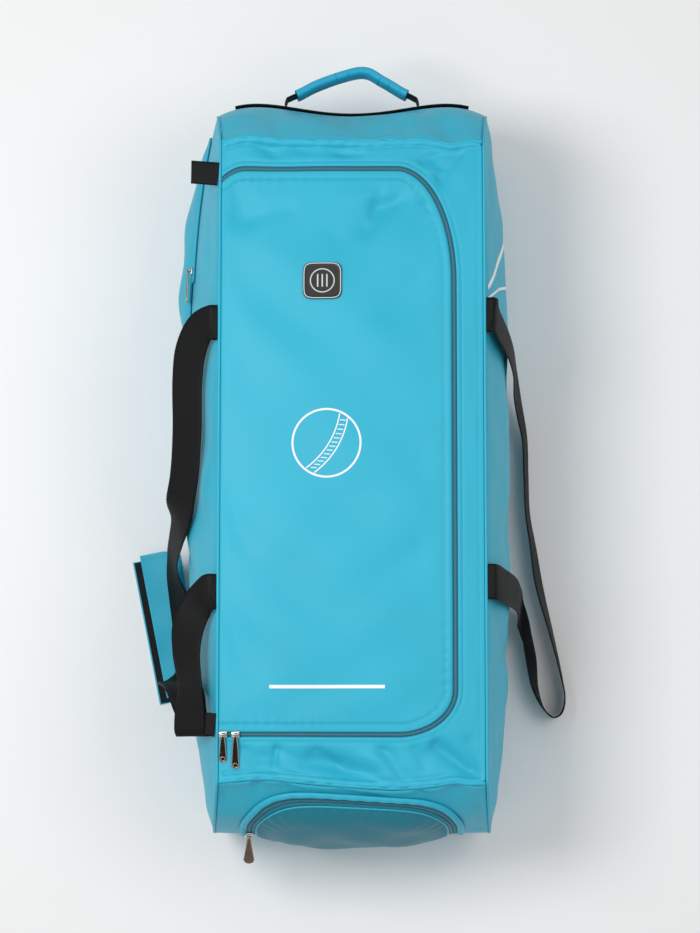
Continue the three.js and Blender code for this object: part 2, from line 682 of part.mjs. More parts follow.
// A pocket's zip: a flat tape with a coil, along places on a wall
function pocketZip(surface, normal, places) {
  const low = cloth / 2 + seat + 0.15;
  const outline = [
    [-pocketZipWidth / 2, low], [pocketZipWidth / 2, low], [pocketZipWidth / 2, low + tapeThickness],
    [zipCoil / 2, low + tapeThickness], [zipCoil / 2, low + tapeThickness + 1.4],
    [-zipCoil / 2, low + tapeThickness + 1.4], [-zipCoil / 2, low + tapeThickness],
    [-pocketZipWidth / 2, low + tapeThickness],
  ];
  const place = (k, a, h) => {
    const s = places[k];
    const x = s[0] + s[2] * a;
    const y = s[1] + s[3] * a;
    return surface(x, y).addScaledVector(normal(x, y), h);
  };
  return sweep(outline, places.length, place);
}

// The left wall and the pocket end as surfaces over millimetres: along or across, and up
const leftWall = (y, z) => sideSurface(-1, y / (y < 0 ? pocketReach : handleReach), shareAt(z));
const leftNormal = (y, z) => normalOf(leftWall, y, z, 2, 2).multiplyScalar(-1);
const lowEnd = (x, z) => endSurface(-1, x / cornerHalf(shareAt(z)), shareAt(z));
const lowNormal = (x, z) => normalOf(lowEnd, x, z, 2, 2);
const outwardsOf = (normal, along) => (normal.dot(along) < 0 ? normal.multiplyScalar(-1) : normal);
const leftOut = (y, z) => outwardsOf(leftNormal(y, z), vec(-1, 0, 0));
const lowOut = (x, z) => outwardsOf(lowNormal(x, z), vec(0, -1, 0));

const sideHalf = [sidePocketLength / 2, sidePocketHeight / 2];
piece('side_pocket_panel',
  pocket(leftWall, leftOut, [sidePocketAlong, sidePocketMiddle], sideHalf, sidePocketBulge, 4, -0.3),
  TEAL, 0.62);

const zipClear = pocketZipWidth / 2 + seat + 1.5;
const sideZip = shares(12).map((t) => {
  const along = lerp(sideZipStart, sidePocketAlong + sidePocketLength / 2 - zipClear, t);
  return [along, sidePocketMiddle + sideHalf[1] + zipClear, 0, 1];
});
piece('side_pocket_zip', pocketZip(leftWall, leftOut, sideZip), 0x2c7489, 0.5);

const endHalf = [endPocketWidth / 2, endPocketHeight / 2];
piece('end_pocket_panel',
  pocket(lowEnd, lowOut, [0, endPocketMiddle], endHalf, endPocketBulge, 3.4, 0),
  0x348294, 0.62);

// The end pocket's zip arches round the pocket's upper edge
const archReach = [endHalf[0] + zipClear, endHalf[1] + zipClear];
const endZip = shares(28).map((t) => {
  const angle = lerp(Math.PI * 1.0, 0, t);
  const c = Math.cos(angle);
  const s = Math.sin(angle);
  const flat = (Math.abs(c) ** 3.4 + Math.abs(s) ** 3.4) ** (-1 / 3.4);
  const nx = Math.sign(c) * Math.abs(c * flat) ** 2.4 / archReach[0];
  const nz = Math.abs(s * flat) ** 2.4 / archReach[1];
  const n = Math.hypot(nx, nz);
  return [archReach[0] * c * flat, endPocketMiddle + archReach[1] * s * flat, nx / n, nz / n];
});
piece('end_pocket_zip', pocketZip(lowEnd, lowOut, endZip), 0x2c7489, 0.5);

// A flat ribbon through rows of centre and width direction
function ribbon(rows, samples, width, thickness) {
  const curve = new THREE.CatmullRomCurve3(rows.map((row) => row.centre), false, 'centripetal');
  const across = new THREE.CatmullRomCurve3(rows.map((row) => vec(...row.across)), false, 'catmullrom');
  const frames = shares(samples).map((t) => {
    const centre = curve.getPoint(t);
    const tangent = curve.getTangent(t);
    const w = across.getPoint(t);
    w.addScaledVector(tangent, -w.dot(tangent)).normalize();
    return { centre, w, n: tangent.clone().cross(w) };
  });
  const place = (k, a, h) => frames[k].centre.clone().addScaledVector(frames[k].w, a).addScaledVector(frames[k].n, h);
  return sweep(box(width, thickness), frames.length, place);
}

function strapRows(side, table, upper, lower) {
  const seam = deckWidth / 2 + weltRadius + 2 * seat;
  const reach = pocketReach;
  const ends = (y) => [
    { centre: vec(side * seam, y, seamHeight), across: [0, 1, 0] },
    { centre: vec(side * (seam + 4), y, seamHeight + 0.3), across: [0, 1, 0] },
    { centre: vec(side * (seam + 9), y, seamHeight), across: [0, 1, 0] },
  ];
  const rows = table.map((row) => {
    const y = row.along * reach;
    const z = row.height * seamHeight;
    const x = Math.abs(sideSurface(side, y / reach, shareAt(z)).x) + row.off * strapWidth;
    return { centre: vec(side * x, y, z), across: row.across };
  });
  return [...ends(upper), ...rows, ...ends(lower).reverse()];
}
piece('strap_right',
  ribbon(strapRows(1, RIGHT_STRAP, rightStrapUpper, rightStrapLower), 96, strapWidth, strapThickness),
  WEBBING, 0.8);
piece('strap_left',
  ribbon(strapRows(-1, LEFT_STRAP, leftStrapUpper, leftStrapLower), 110, strapWidth, strapThickness),
  WEBBING, 0.8);

// Grip wrap: one padded cloth folded back on itself beside the left strap, on the floor
{
  const room = fastenerThickness + 2 * seat;
  const top = 2 * wrapCloth + room;
  const along = vec(wrapSlant, -1, 0).normalize();
  const outwards = vec(-1, -wrapSlant, 0).normalize();
  const corner = vec(-baseWidth / 2 - wrapStandOff, wrapStart, 0);
  const place = (k, a, h) => corner.clone()
    .addScaledVector(along, wrapLength * k / 8)
    .addScaledVector(outwards, a)
    .add(vec(0, 0, h));
  const leaf = [
    [0, 0], [wrapBackWidth, 0], [wrapBackWidth, wrapCloth], [wrapCloth, wrapCloth],
    [wrapCloth, wrapCloth + room], [wrapFrontWidth, wrapCloth + room], [wrapFrontWidth, top], [0, top],
  ];
  piece('grip_wrap', sweep(leaf, 9, place), TEAL, 0.62);
  const middle = wrapBackWidth - wrapCloth - fastenerWidth / 2;
  const patch = box(fastenerWidth, fastenerThickness).map(([a, h]) => [
    middle + a, wrapCloth + seat + fastenerThickness / 2 + h]);
  const margin = 4 * seat / wrapLength * 8;
  const inset = (k, a, h) => place(lerp(margin, 8 - margin, k / 8), a, h);
  piece('grip_wrap_fastener', sweep(patch, 9, inset), WEBBING, 0.95);
}

// Webbing tabs folded double into the left seam
function tab(name, y, reach) {
  const start = deckWidth / 2 + weltRadius + seat;
  const t = 1.6;
  const outline = [[0, 0], [reach, 0], [reach, 2 * t + 1], [0, 2 * t + 1], [0, t + 1], [reach - t, t + 1], [reach - t, t], [0, t]];
  const droop = 0.1;
  const place = (k, a, h) => vec(-start - a, y - tabWidth / 2 + tabWidth * k / 2 + a * 0.1,
    seamHeight - t - 0.5 + h - a * droop);
  piece(name, sweep(outline, 3, place), WEBBING, 0.8);
}
tab('tab_upper', lidTop - 6, tabReach);
tab('tab_lower', lidBottom + 12, lowerTabReach);

// Haul handle: an anchor strip across the end, a webbing through a padded grip
const handleShare = shareAt(handleHeight);
{
  const surface = (x, z) => endSurface(1, x / cornerHalf(shareAt(z)), shareAt(z));
  const out = (x, z) => outwardsOf(normalOf(surface, x, z, 2, 2), vec(0, 1, 0));
  const across = shares(28).map((t) => lerp(-anchorLength / 2, anchorLength / 2, t));
  const low = cloth / 2 + 2 * seat;
  const outline = box(haulWebbing, haulThickness).map(([a, h]) => [a, h + low + haulThickness / 2]);
  const place = (k, a, h) => surface(across[k], handleHeight + a).addScaledVector(out(across[k], handleHeight), h);
  piece('handle_anchor_strip', sweep(outline, across.length, place), WEBBING, 0.8);
}
// The grip's middle line in shares of its span and rise, kinked where it is carried
const GRIP_LINE = [
  { across: -0.5, rise: 0 }, { across: -0.44, rise: 0.12 }, { across: -0.3, rise: 0.46 },
  { across: -0.08, rise: 0.84 }, { across: 0.12, rise: 1 }, { across: 0.27, rise: 0.62 },
  { across: 0.44, rise: 0.14 }, { across: 0.5, rise: 0.02 },
];
const lowFoot = shareAt(handleHeight - haulWebbing / 2);
const footY = endSurface(1, haulSpan / 2 / cornerHalf(lowFoot), lowFoot).y
  + cloth / 2 + 2 * seat + haulThickness + 0.6;
const gripCurve = new THREE.CatmullRomCurve3(GRIP_LINE.map((row) => (
  vec(row.across * gripSpan, footY + gripFoot + gripRise * row.rise, handleHeight))), false, 'centripetal');
const gripPath = shares(30).map((t) => gripCurve.getPoint(t));
const bent = (path, k) => {
  const ahead = path[Math.min(k + 1, path.length - 1)];
  const tangent = ahead.clone().sub(path[Math.max(k - 1, 0)]).normalize();
  return vec(-tangent.y, tangent.x, 0);
};
{
  const half = haulSpan / 2;
  const foot = (side) => [
    vec(side * half, footY, handleHeight),
    vec(side * (half - 0.5), footY + gripFoot * 0.3, handleHeight),
    vec(side * (half - 2.5), footY + gripFoot * 0.7, handleHeight),
  ];
  const path = [...foot(-1), ...gripPath, ...foot(1).reverse()];
  const place = (k, a, h) => path[k].clone().addScaledVector(bent(path, k), a).add(vec(0, 0, h));
  piece('handle_strap', sweep(box(haulThickness, haulWebbing), path.length, place), WEBBING, 0.8);

  const d = gripDepth / 2;
  const h = gripHeight / 2;
  const hollowD = haulThickness / 2 + seat;
  const hollowH = haulWebbing / 2 + seat;
  const slit = seat / 2;
  const c = d * 0.6;
  const outline = [
    [-d, -slit], [-d, -h + c], [-d + c, -h], [d - c, -h], [d, -h + c],
    [d, h - c], [d - c, h], [-d + c, h], [-d, h - c], [-d, slit],
    [-hollowD, slit], [-hollowD, hollowH], [hollowD, hollowH],
    [hollowD, -hollowH], [-hollowD, -hollowH], [-hollowD, -slit],
  ];
  const sleeve = gripPath.slice(2, -2);
  const wrap = (k, a, b) => sleeve[k].clone().addScaledVector(bent(gripPath, k + 2), a).add(vec(0, 0, b));
  piece('handle_grip', sweep(outline, sleeve.length, wrap), 0x3c9abc, 0.62);
}

// Rubber badge on the lid
{
  const r = badgeCorner;
  const w = badgeWidth / 2;
  const l = badgeLength / 2;
  const shape = new THREE.Shape();
  shape.moveTo(-w + r, -l);
  shape.lineTo(w - r, -l);
  shape.absarc(w - r, -l + r, r, -Math.PI / 2, 0);
  shape.absarc(w - r, l - r, r, 0, Math.PI / 2);
  shape.absarc(-w + r, l - r, r, Math.PI / 2, Math.PI);
  shape.absarc(-w + r, -l + r, r, Math.PI, Math.PI * 1.5);
  const geometry = new THREE.ExtrudeGeometry(shape, { depth: badgeThickness, bevelEnabled: false, curveSegments: 5 });
  const badge = piece('badge', geometry, 0x0c0d0f, 0.55);
  const normal = deckNormal(badgeAcross, badgeAlong);
  badge.quaternion.setFromUnitVectors(vec(0, 0, 1), normal);
  badge.position.copy(deckSurface(badgeAcross, badgeAlong)).addScaledVector(normal, cloth / 2 + seat + 0.15);
}

// A slider stands on its coil; its bail is a bar on two posts that the pull's eye goes round
function slider(name, frame) {
  const base = new THREE.BoxGeometry(sliderLength, sliderWidth, sliderThickness);
  base.translate(0, 0, sliderThickness / 2);
  const top = sliderThickness + bailRise;
  const bar = new THREE.CylinderGeometry(bailRadius, bailRadius, sliderLength - 1, 8);
  bar.rotateZ(Math.PI / 2);
  bar.translate(0, 0, top);
  const posts = [-1, 1].map((side) => {
    const post = new THREE.BoxGeometry(1.8, 2.2, bailRise + bailRadius + 0.6);
    post.translate(side * (sliderLength / 2 - 1.2), 0, sliderThickness + (bailRise + bailRadius) / 2 - 0.3);
    return post;
  });
  const mesh = piece(name, join(base, bar, ...posts), 0xb4b4ae, 0.3, 1);
  mesh.applyMatrix4(frame);
  return vec(0, 0, top).applyMatrix4(frame);
}

// A pull: an eye round the bail's bar and a flat plate that runs down -Y
function pull(name, length, widths, pivot, frame, lean) {
  const inner = bailRadius + eyeClearance;
  const outer = inner + eyeWall;
  const ring = new THREE.Shape();
  ring.absarc(0, 0, outer, 0, Math.PI * 2);
  const hole = new THREE.Path();
  hole.absarc(0, 0, inner, 0, Math.PI * 2, true);
  ring.holes.push(hole);
  const eye = new THREE.ExtrudeGeometry(ring, { depth: eyeWidth, bevelEnabled: false, curveSegments: 6 });
  eye.translate(0, 0, -eyeWidth / 2);
  eye.rotateY(Math.PI / 2);
  const plate = new THREE.Shape();
  const start = -inner - 0.4;
  plate.moveTo(-eyeWidth / 2, start);
  plate.lineTo(eyeWidth / 2, start);
  plate.lineTo(widths.neck / 2, start - length * 0.25);
  plate.lineTo(widths.foot / 2, -length + widths.foot / 2);
  plate.absarc(0, -length + widths.foot / 2, widths.foot / 2, 0, -Math.PI, true);
  plate.lineTo(-widths.neck / 2, start - length * 0.25);
  const opening = new THREE.Path();
  opening.absarc(0, -length + widths.foot / 2, widths.foot / 2 - widths.rim, 0, Math.PI * 2);
  plate.holes.push(opening);
  const flat = new THREE.ExtrudeGeometry(plate, { depth: pullThickness, bevelEnabled: false, curveSegments: 5 });
  flat.translate(0, 0, -pullThickness / 2);
  const mesh = piece(name, join(eye, flat), name === 'end_pull' ? 0x9d8d7e : 0x8d8b84, 0.35, 1);
  const turn = new THREE.Matrix4().makeRotationX(lean);
  const placed = new THREE.Matrix4().extractRotation(frame).multiply(turn);
  mesh.applyMatrix4(placed);
  mesh.position.copy(pivot);
}

const frameOf = (x, y, z, origin) => new THREE.Matrix4().makeBasis(x, y, z).setPosition(origin);

// The two lid sliders meet at the left end of the lid's lower run
const plainPull = { neck: pullNeck, foot: pullFoot, rim: pullRim };
for (const [label, place, length] of [['a', SLIDER_A, pullALength], ['b', SLIDER_B, pullBLength]]) {
  const normal = deckNormal(place.across, lidBottom);
  const origin = deckSurface(place.across, lidBottom).addScaledVector(normal, cloth / 2 + 0.2 + seat);
  const x = vec(1, 0, 0).addScaledVector(normal, -normal.x).normalize();
  const frame = frameOf(x, normal.clone().cross(x), normal, origin);
  const pivot = slider('lid_slider_' + label, frame);
  const tip = deckSurface(place.across, lidBottom - length).z + cloth / 2 + seat + pullThickness / 2;
  pull('lid_pull_' + label, length, plainPull, pivot, frameOf(vec(1, 0, 0), vec(0, 1, 0), vec(0, 0, 1), pivot),
    Math.asin((pivot.z - tip) / length));
}

// Side pocket slider at the lower end of its zip, its pull lying towards the pocket end
{
  const low = sideZip[1];
  const normal = leftOut(low[0], low[1]);
  const origin = leftWall(low[0], low[1])
    .addScaledVector(normal, cloth / 2 + seat + tapeThickness + 1.4 + seat);
  const y = vec(0, 1, 0).addScaledVector(normal, -normal.y).normalize();
  const frame = frameOf(y.clone().cross(normal), y, normal, origin);
  const pivot = slider('side_slider', frame);
  pull('side_pull', sidePullLength, plainPull, pivot, frame, 0.02);
}

// End pocket slider at the left end of the arch, its pull standing out and down
{
  const low = endZip[1];
  const normal = lowOut(low[0], low[1]);
  const origin = lowEnd(low[0], low[1])
    .addScaledVector(normal, cloth / 2 + seat + tapeThickness + 1.4 + seat);
  const y = vec(0, 0, 1).addScaledVector(normal, -normal.z).normalize();
  const frame = frameOf(y.clone().cross(normal), y, normal, origin);
  const pivot = slider('end_slider', frame);
  const drop = { neck: pullNeck, foot: endPullFoot, rim: endPullRim };
  pull('end_pull', endPullLength, drop, pivot, frame, -endPullLift);
}

export default bag;
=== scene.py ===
"""A cricket kit bag lying on its base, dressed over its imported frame."""
import math

import bmesh
import bpy
import numpy as np
from mathutils import Matrix, Vector


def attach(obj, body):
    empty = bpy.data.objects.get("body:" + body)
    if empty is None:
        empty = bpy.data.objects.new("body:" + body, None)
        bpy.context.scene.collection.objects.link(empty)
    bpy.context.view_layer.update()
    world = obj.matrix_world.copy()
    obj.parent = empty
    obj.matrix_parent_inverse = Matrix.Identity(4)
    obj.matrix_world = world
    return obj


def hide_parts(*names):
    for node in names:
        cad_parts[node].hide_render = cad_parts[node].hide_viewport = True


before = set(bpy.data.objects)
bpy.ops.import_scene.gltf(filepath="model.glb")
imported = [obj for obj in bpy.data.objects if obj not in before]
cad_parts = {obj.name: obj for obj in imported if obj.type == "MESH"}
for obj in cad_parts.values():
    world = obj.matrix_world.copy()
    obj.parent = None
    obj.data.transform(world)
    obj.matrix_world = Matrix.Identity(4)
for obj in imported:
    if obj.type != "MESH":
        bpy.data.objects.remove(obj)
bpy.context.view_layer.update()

# Camera, floor and light
# The bag is seen from almost straight above its lid, on a pale floor, under two soft lights above
# it and a bright surround.
camera_data = bpy.data.cameras.new("camera")
camera_data.lens = 95.35
camera = bpy.data.objects.new("camera", camera_data)
camera.location = (-0.0026, -0.34249, 3.51247)
camera.rotation_euler = (math.radians(6), 0, 0)
bpy.context.collection.objects.link(camera)
bpy.context.scene.camera = camera
bpy.context.scene.view_settings.view_transform = "Standard"


class Value:
    """A number in a material's graph that plain arithmetic can be done on."""

    def __init__(self, graph, socket):
        self.graph = graph
        self.socket = socket

    def combine(self, operation, first, second):
        return self.graph.node("ShaderNodeMath", {"operation": operation}, {0: first, 1: second})

    def __add__(self, other):
        return self.combine("ADD", self, other)

    def __mul__(self, other):
        return self.combine("MULTIPLY", self, other)

    __radd__ = __add__
    __rmul__ = __mul__

    def wave(self):
        return self.combine("SINE", self, 0.0)


class Graph:
    """A material with one Principled shader, whose nodes are added one by one."""

    def __init__(self, name, **settings):
        self.material = bpy.data.materials.new(name)
        self.material.use_nodes = True
        self.tree = self.material.node_tree
        self.shader = self.tree.nodes["Principled BSDF"]
        for key, value in settings.items():
            self.shader.inputs[key.replace("_", " ")].default_value = value

    def node(self, kind, settings=None, inputs=None, output=0):
        node = self.tree.nodes.new(kind)
        for key, value in (settings or {}).items():
            setattr(node, key, value)
        for key, value in (inputs or {}).items():
            self.feed(node.inputs[key], value)
        return Value(self, node.outputs[output])

    def feed(self, socket, value):
        if isinstance(value, Value):
            self.tree.links.new(value.socket, socket)
        else:
            socket.default_value = value

    def give(self, key, value):
        self.feed(self.shader.inputs[key], value)

    def mix(self, share, first, second):
        inputs = {"Factor": share, 6: (*first, 1), 7: (*second, 1)}
        return self.node("ShaderNodeMix", {"data_type": "RGBA"}, inputs, 2)

    def noise(self, scale, detail=3.0):
        place = self.node("ShaderNodeTexCoord", output=3)
        inputs = {"Vector": place, "Scale": scale, "Detail": detail}
        return self.node("ShaderNodeTexNoise", None, inputs)

    def cloth_place(self):
        place = self.node("ShaderNodeUVMap", {"uv_map": "cloth"})
        split = self.node("ShaderNodeSeparateXYZ", None, {0: place})
        return split, Value(self, split.socket.node.outputs[1])

    def bump(self, height, distance, strength=1.0):
        inputs = {"Height": height, "Distance": distance, "Strength": strength}
        self.give("Normal", self.node("ShaderNodeBump", None, inputs))


def srgb(red, green, blue):
    shares = (red / 255, green / 255, blue / 255)
    return tuple(s / 12.92 if s <= 0.04045 else ((s + 0.055) / 1.055) ** 2.4 for s in shares)


def add_light(name, place, aim, size, power):
    data = bpy.data.lights.new(name, "AREA")
    data.shape = "SQUARE"
    data.size = size
    data.energy = power
    light = bpy.data.objects.new(name, data)
    light.location = place
    light.rotation_euler = (Vector(aim) - Vector(place)).to_track_quat("-Z", "Y").to_euler()
    bpy.context.collection.objects.link(light)


add_light("left_light", (-0.95, 0.15, 2.2), (0, 0, 0.2), 0.8, 26)
add_light("right_light", (0.95, 0.05, 2.2), (0, 0, 0.2), 1.0, 9)
world = bpy.data.worlds.new("surround")
world.use_nodes = True
world.node_tree.nodes["Background"].inputs["Color"].default_value = (1, 1, 1, 1)
world.node_tree.nodes["Background"].inputs["Strength"].default_value = 0.5
bpy.context.scene.world = world

floor_mesh = bmesh.new()
bmesh.ops.create_grid(floor_mesh, x_segments=2, y_segments=2, size=6)
floor_data = bpy.data.meshes.new("floor")
floor_mesh.to_mesh(floor_data)
floor_mesh.free()
floor = bpy.data.objects.new("floor", floor_data)
bpy.context.collection.objects.link(floor)
floor_data.materials.append(Graph("floor", Base_Color=(0.9, 0.9, 0.9, 1), Roughness=0.9).material)

# Base panel
# The bag's floor: a stiff coated cloth cut to the base's outline, sewn into both side seams and
# both end walls, flat on the ground.
CLOTH = 0.002
DECK_WIDTH = 0.346
BASE_WIDTH = 0.372
SEAM_HEIGHT = 0.328
REACH = {1: 0.492, -1: 0.484}
WELT = 0.002
SEAT = 0.0003
END_PROFILE = [
    {"height": 0, "reach": 0.955},
    {"height": 0.12, "reach": 0.985},
    {"height": 0.45, "reach": 1},
    {"height": 0.8, "reach": 0.95},
    {"height": 1, "reach": 0.858},
]
END_BULGE = {1: 0.014, -1: 0.004}
CORNER_FILL = 0.005
END_FOLDS = [
    {"from": (-0.9, 0.3), "to": (-0.55, 0.12), "depth": 0.35, "spread": 0.1},
    {"from": (0.9, 0.34), "to": (0.5, 0.12), "depth": 0.35, "spread": 0.1},
]
# How far the sewn ridge strays outwards at places along it, as a share of the half width
RIDGE_STRAY = {
    1: [(-1, -2), (-0.82, 3), (-0.55, -1), (-0.25, 1), (0.1, 1), (0.4, 1), (0.6, -2), (0.74, -7),
        (0.82, -5), (0.92, -1), (1, -1)],
    -1: [(-1, -1), (-0.72, -6), (-0.6, -6), (-0.3, -1), (0, 3), (0.32, 6), (0.6, 3), (0.76, -1),
         (0.86, 1), (1, 1)],
}
# Creases pinched into the ridges, down the end walls: place and depth in millimetres
END_PINCHES = {
    1: [{"from": (0.76, 1), "to": (0.5, 0.72), "depth": 4, "spread": 0.05},
        {"from": (-0.9, 0.95), "to": (-0.2, 0.7), "depth": 3, "spread": 0.07},
        {"from": (0.15, 0.95), "to": (-0.1, 0.8), "depth": 3, "spread": 0.06},
        {"from": (-0.55, 0.96), "to": (-0.62, 0.8), "depth": 3, "spread": 0.04},
        {"from": (0.42, 0.97), "to": (0.36, 0.86), "depth": 3, "spread": 0.035}],
    -1: [{"from": (-0.69, 1), "to": (-0.7, 0.84), "depth": 6, "spread": 0.025},
         {"from": (-0.5, 0.99), "to": (-0.42, 0.93), "depth": 3, "spread": 0.025},
         {"from": (-0.1, 0.98), "to": (0.2, 0.95), "depth": 2.5, "spread": 0.02},
         {"from": (0.5, 0.98), "to": (0.58, 0.9), "depth": 4, "spread": 0.022},
         {"from": (-0.95, 0.93), "to": (-0.75, 0.86), "depth": 4, "spread": 0.05},
         {"from": (0.77, 1), "to": (0.74, 0.82), "depth": 4, "spread": 0.04},
         {"from": (0.96, 0.86), "to": (0.9, 0.6), "depth": 5, "spread": 0.05}],
}


def lerp(a, b, t):
    return a + (b - a) * t


def smooth(x, low, high):
    t = np.clip((x - low) / (high - low), 0, 1)
    return t * t * (3 - 2 * t)


def between(rows, share):
    """Smooth value at a share, through rows of a key and a value."""
    keys, values = (np.array(column, float) for column in zip(*rows))
    count = len(keys)
    below = np.clip(np.searchsorted(keys, share) - 1, 0, count - 2)
    step = keys[below + 1] - keys[below]
    t = (share - keys[below]) / step
    low = np.maximum(np.arange(count) - 1, 0)
    high = np.minimum(np.arange(count) + 1, count - 1)
    slope = (values[high] - values[low]) / (keys[high] - keys[low])
    eased = t * t * (3 - 2 * t)
    leaving = step * slope[below] * (t**3 - 2 * t * t + t)
    arriving = step * slope[below + 1] * (t**3 - t * t)
    return lerp(values[below], values[below + 1], eased) + leaving + arriving


def folding(folds, a, b, scale_a, scale_b, spread_size):
    """Summed depth of the folds at places given in the shares of their table."""
    depth = np.zeros(np.broadcast(a, b).shape)
    for fold in folds:
        start = (fold["from"][0] * scale_a, fold["from"][1] * scale_b)
        run = (fold["to"][0] * scale_a - start[0], fold["to"][1] * scale_b - start[1])
        past = (a * scale_a - start[0], b * scale_b - start[1])
        t = np.clip((past[0] * run[0] + past[1] * run[1]) / (run[0] ** 2 + run[1] ** 2), 0, 1)
        gap = np.hypot(past[0] - t * run[0], past[1] - t * run[1])
        depth = depth + fold["depth"] * np.exp(-((gap / (fold["spread"] * spread_size)) ** 2))
    return depth


def slack(a, b, size):
    """Gentle unevenness of loose cloth at places in metres, from -1 to 1."""
    p, q = a / size, b / size
    slow = np.sin(2.1 * p + 1.3 * np.sin(1.7 * q + 0.6)) + np.sin(1.9 * (p + q) + 0.9)
    return (slow + np.sin(2.7 * q + 1.9 * np.sin(1.1 * p + 2.2))) / 3


def height_at(v):
    return WELT + v * (SEAM_HEIGHT - WELT)


def share_at(z):
    return (z - WELT) / (SEAM_HEIGHT - WELT)


def end_share(v):
    return between([(row["height"], row["reach"]) for row in END_PROFILE], v)


def corner_half(v):
    return lerp(BASE_WIDTH, DECK_WIDTH, v) / 2 + CORNER_FILL * 4 * v * (1 - v)


def stack(x, y, z):
    return np.stack(np.broadcast_arrays(x, y, z), axis=-1).astype(float)


def end_surface(end, s, v):
    """Middle of an end wall's cloth: s runs -1 to 1 across the bag, v up it."""
    swell = 1 if end < 0 else 4 * s * s
    fullness = swell * (1 - s * s) * (0.3 + 2.8 * v * (1 - v))
    crease = folding(END_FOLDS, s, v, DECK_WIDTH / 2, SEAM_HEIGHT, SEAM_HEIGHT)
    fade = (1 - s * s) * 4 * v * (1 - v)
    y = REACH[end] * end_share(v) + END_BULGE[end] * fullness - END_BULGE[1] * crease * fade
    return stack(s * corner_half(v), end * y, height_at(v))


def ridge(end, x):
    """How far out the seam between an end wall and the top lies, at places across the bag."""
    return np.abs(end_surface(end, x / corner_half(1), 1.0)[..., 1])


def stray(end, x):
    return between(RIDGE_STRAY[end], np.clip(x / corner_half(1), -1, 1)) / 1000


def normals_of(surface, a, b, step=0.002):
    along_a = surface(a + step, b) - surface(a - step, b)
    along_b = surface(a, b + step) - surface(a, b - step)
    normal = np.cross(along_a, along_b)
    return normal / np.linalg.norm(normal, axis=-1, keepdims=True)


def skin(name, across, along, place, size, close=False):
    """A grid of across by along squares moved to place(s, t), with its cloth map in metres."""
    mesh = bmesh.new()
    bmesh.ops.create_grid(mesh, x_segments=across, y_segments=along, size=0.5)
    flat = np.array([vert.co[:2] for vert in mesh.verts]) + 0.5
    layer = mesh.loops.layers.uv.new("cloth")
    for face in mesh.faces:
        face.smooth = True
        for loop in face.loops:
            s, t = flat[loop.vert.index]
            loop[layer].uv = (s * size[0], t * size[1])
    for vert, point in zip(mesh.verts, place(flat[:, 0], flat[:, 1])):
        vert.co = point
    if close:
        bmesh.ops.remove_doubles(mesh, verts=mesh.verts, dist=1e-6)
    data = bpy.data.meshes.new(name)
    mesh.to_mesh(data)
    mesh.free()
    piece = bpy.data.objects.new(name, data)
    bpy.context.collection.objects.link(piece)
    return piece


def face_out(piece, direction):
    """Turns a sheet's faces to look along a direction on the whole."""
    total = sum((face.normal * face.area for face in piece.data.polygons), Vector())
    if total.dot(Vector(direction)) < 0:
        piece.data.flip_normals()
    return piece


def thicken(piece, thickness, rounded=0.0):
    """Gives a sheet its thickness, half on each side."""
    wall = piece.modifiers.new("thickness", "SOLIDIFY")
    wall.thickness = thickness
    wall.offset = 0
    if rounded:
        edge = piece.modifiers.new("edge", "BEVEL")
        edge.width = rounded
        edge.segments = 2
        edge.limit_method = "ANGLE"
        edge.angle_limit = math.radians(50)
    return piece


def belong(piece, material, slot, *nodes, body="bag"):
    """Gives a piece its material, its body and the nodes that it stands for."""
    piece.data.materials.append(material)
    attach(piece, body)
    if nodes:
        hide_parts(*nodes)
    return piece


def woven_cloth(name, colour, roughness=0.46):
    """Coated plain-weave cloth: a fine weave, and shade and gloss that vary a little."""
    cloth = Graph(name, Roughness=roughness, Specular_IOR_Level=0.28)
    threads = 2 * math.pi / 0.0011
    s, t = cloth.cloth_place()
    weave = (s * threads).wave() * (t * threads).wave()
    drift = cloth.noise(9.0)
    grain = cloth.noise(260.0)
    tone = drift * 0.7 + grain * 0.3
    dark = tuple(c * 0.9 for c in colour)
    cloth.give("Base Color", cloth.mix(tone, dark, tuple(min(c * 1.08, 1) for c in colour)))
    cloth.give("Roughness", drift * 0.16 + (roughness - 0.08))
    cloth.bump(weave * 0.5 + grain * 0.5, 0.00012, 0.55)
    return cloth.material


teal_cloth = woven_cloth("teal_cloth", srgb(46, 174, 202))


def base_place(s, t):
    half = BASE_WIDTH / 2 - WELT - SEAT
    x = lerp(-half, half, s)
    near = end_surface(-1, x / corner_half(0), 0.0)[:, 1] + 0.0021
    far = end_surface(1, x / corner_half(0), 0.0)[:, 1] - 0.0021
    return stack(x, lerp(near, far, t), CLOTH / 2)


base = face_out(skin("base_cloth", 60, 160, base_place, (0.37, 0.94)), (0, 0, -1))
belong(thicken(base, CLOTH), teal_cloth, "coated_cloth", "base_panel")

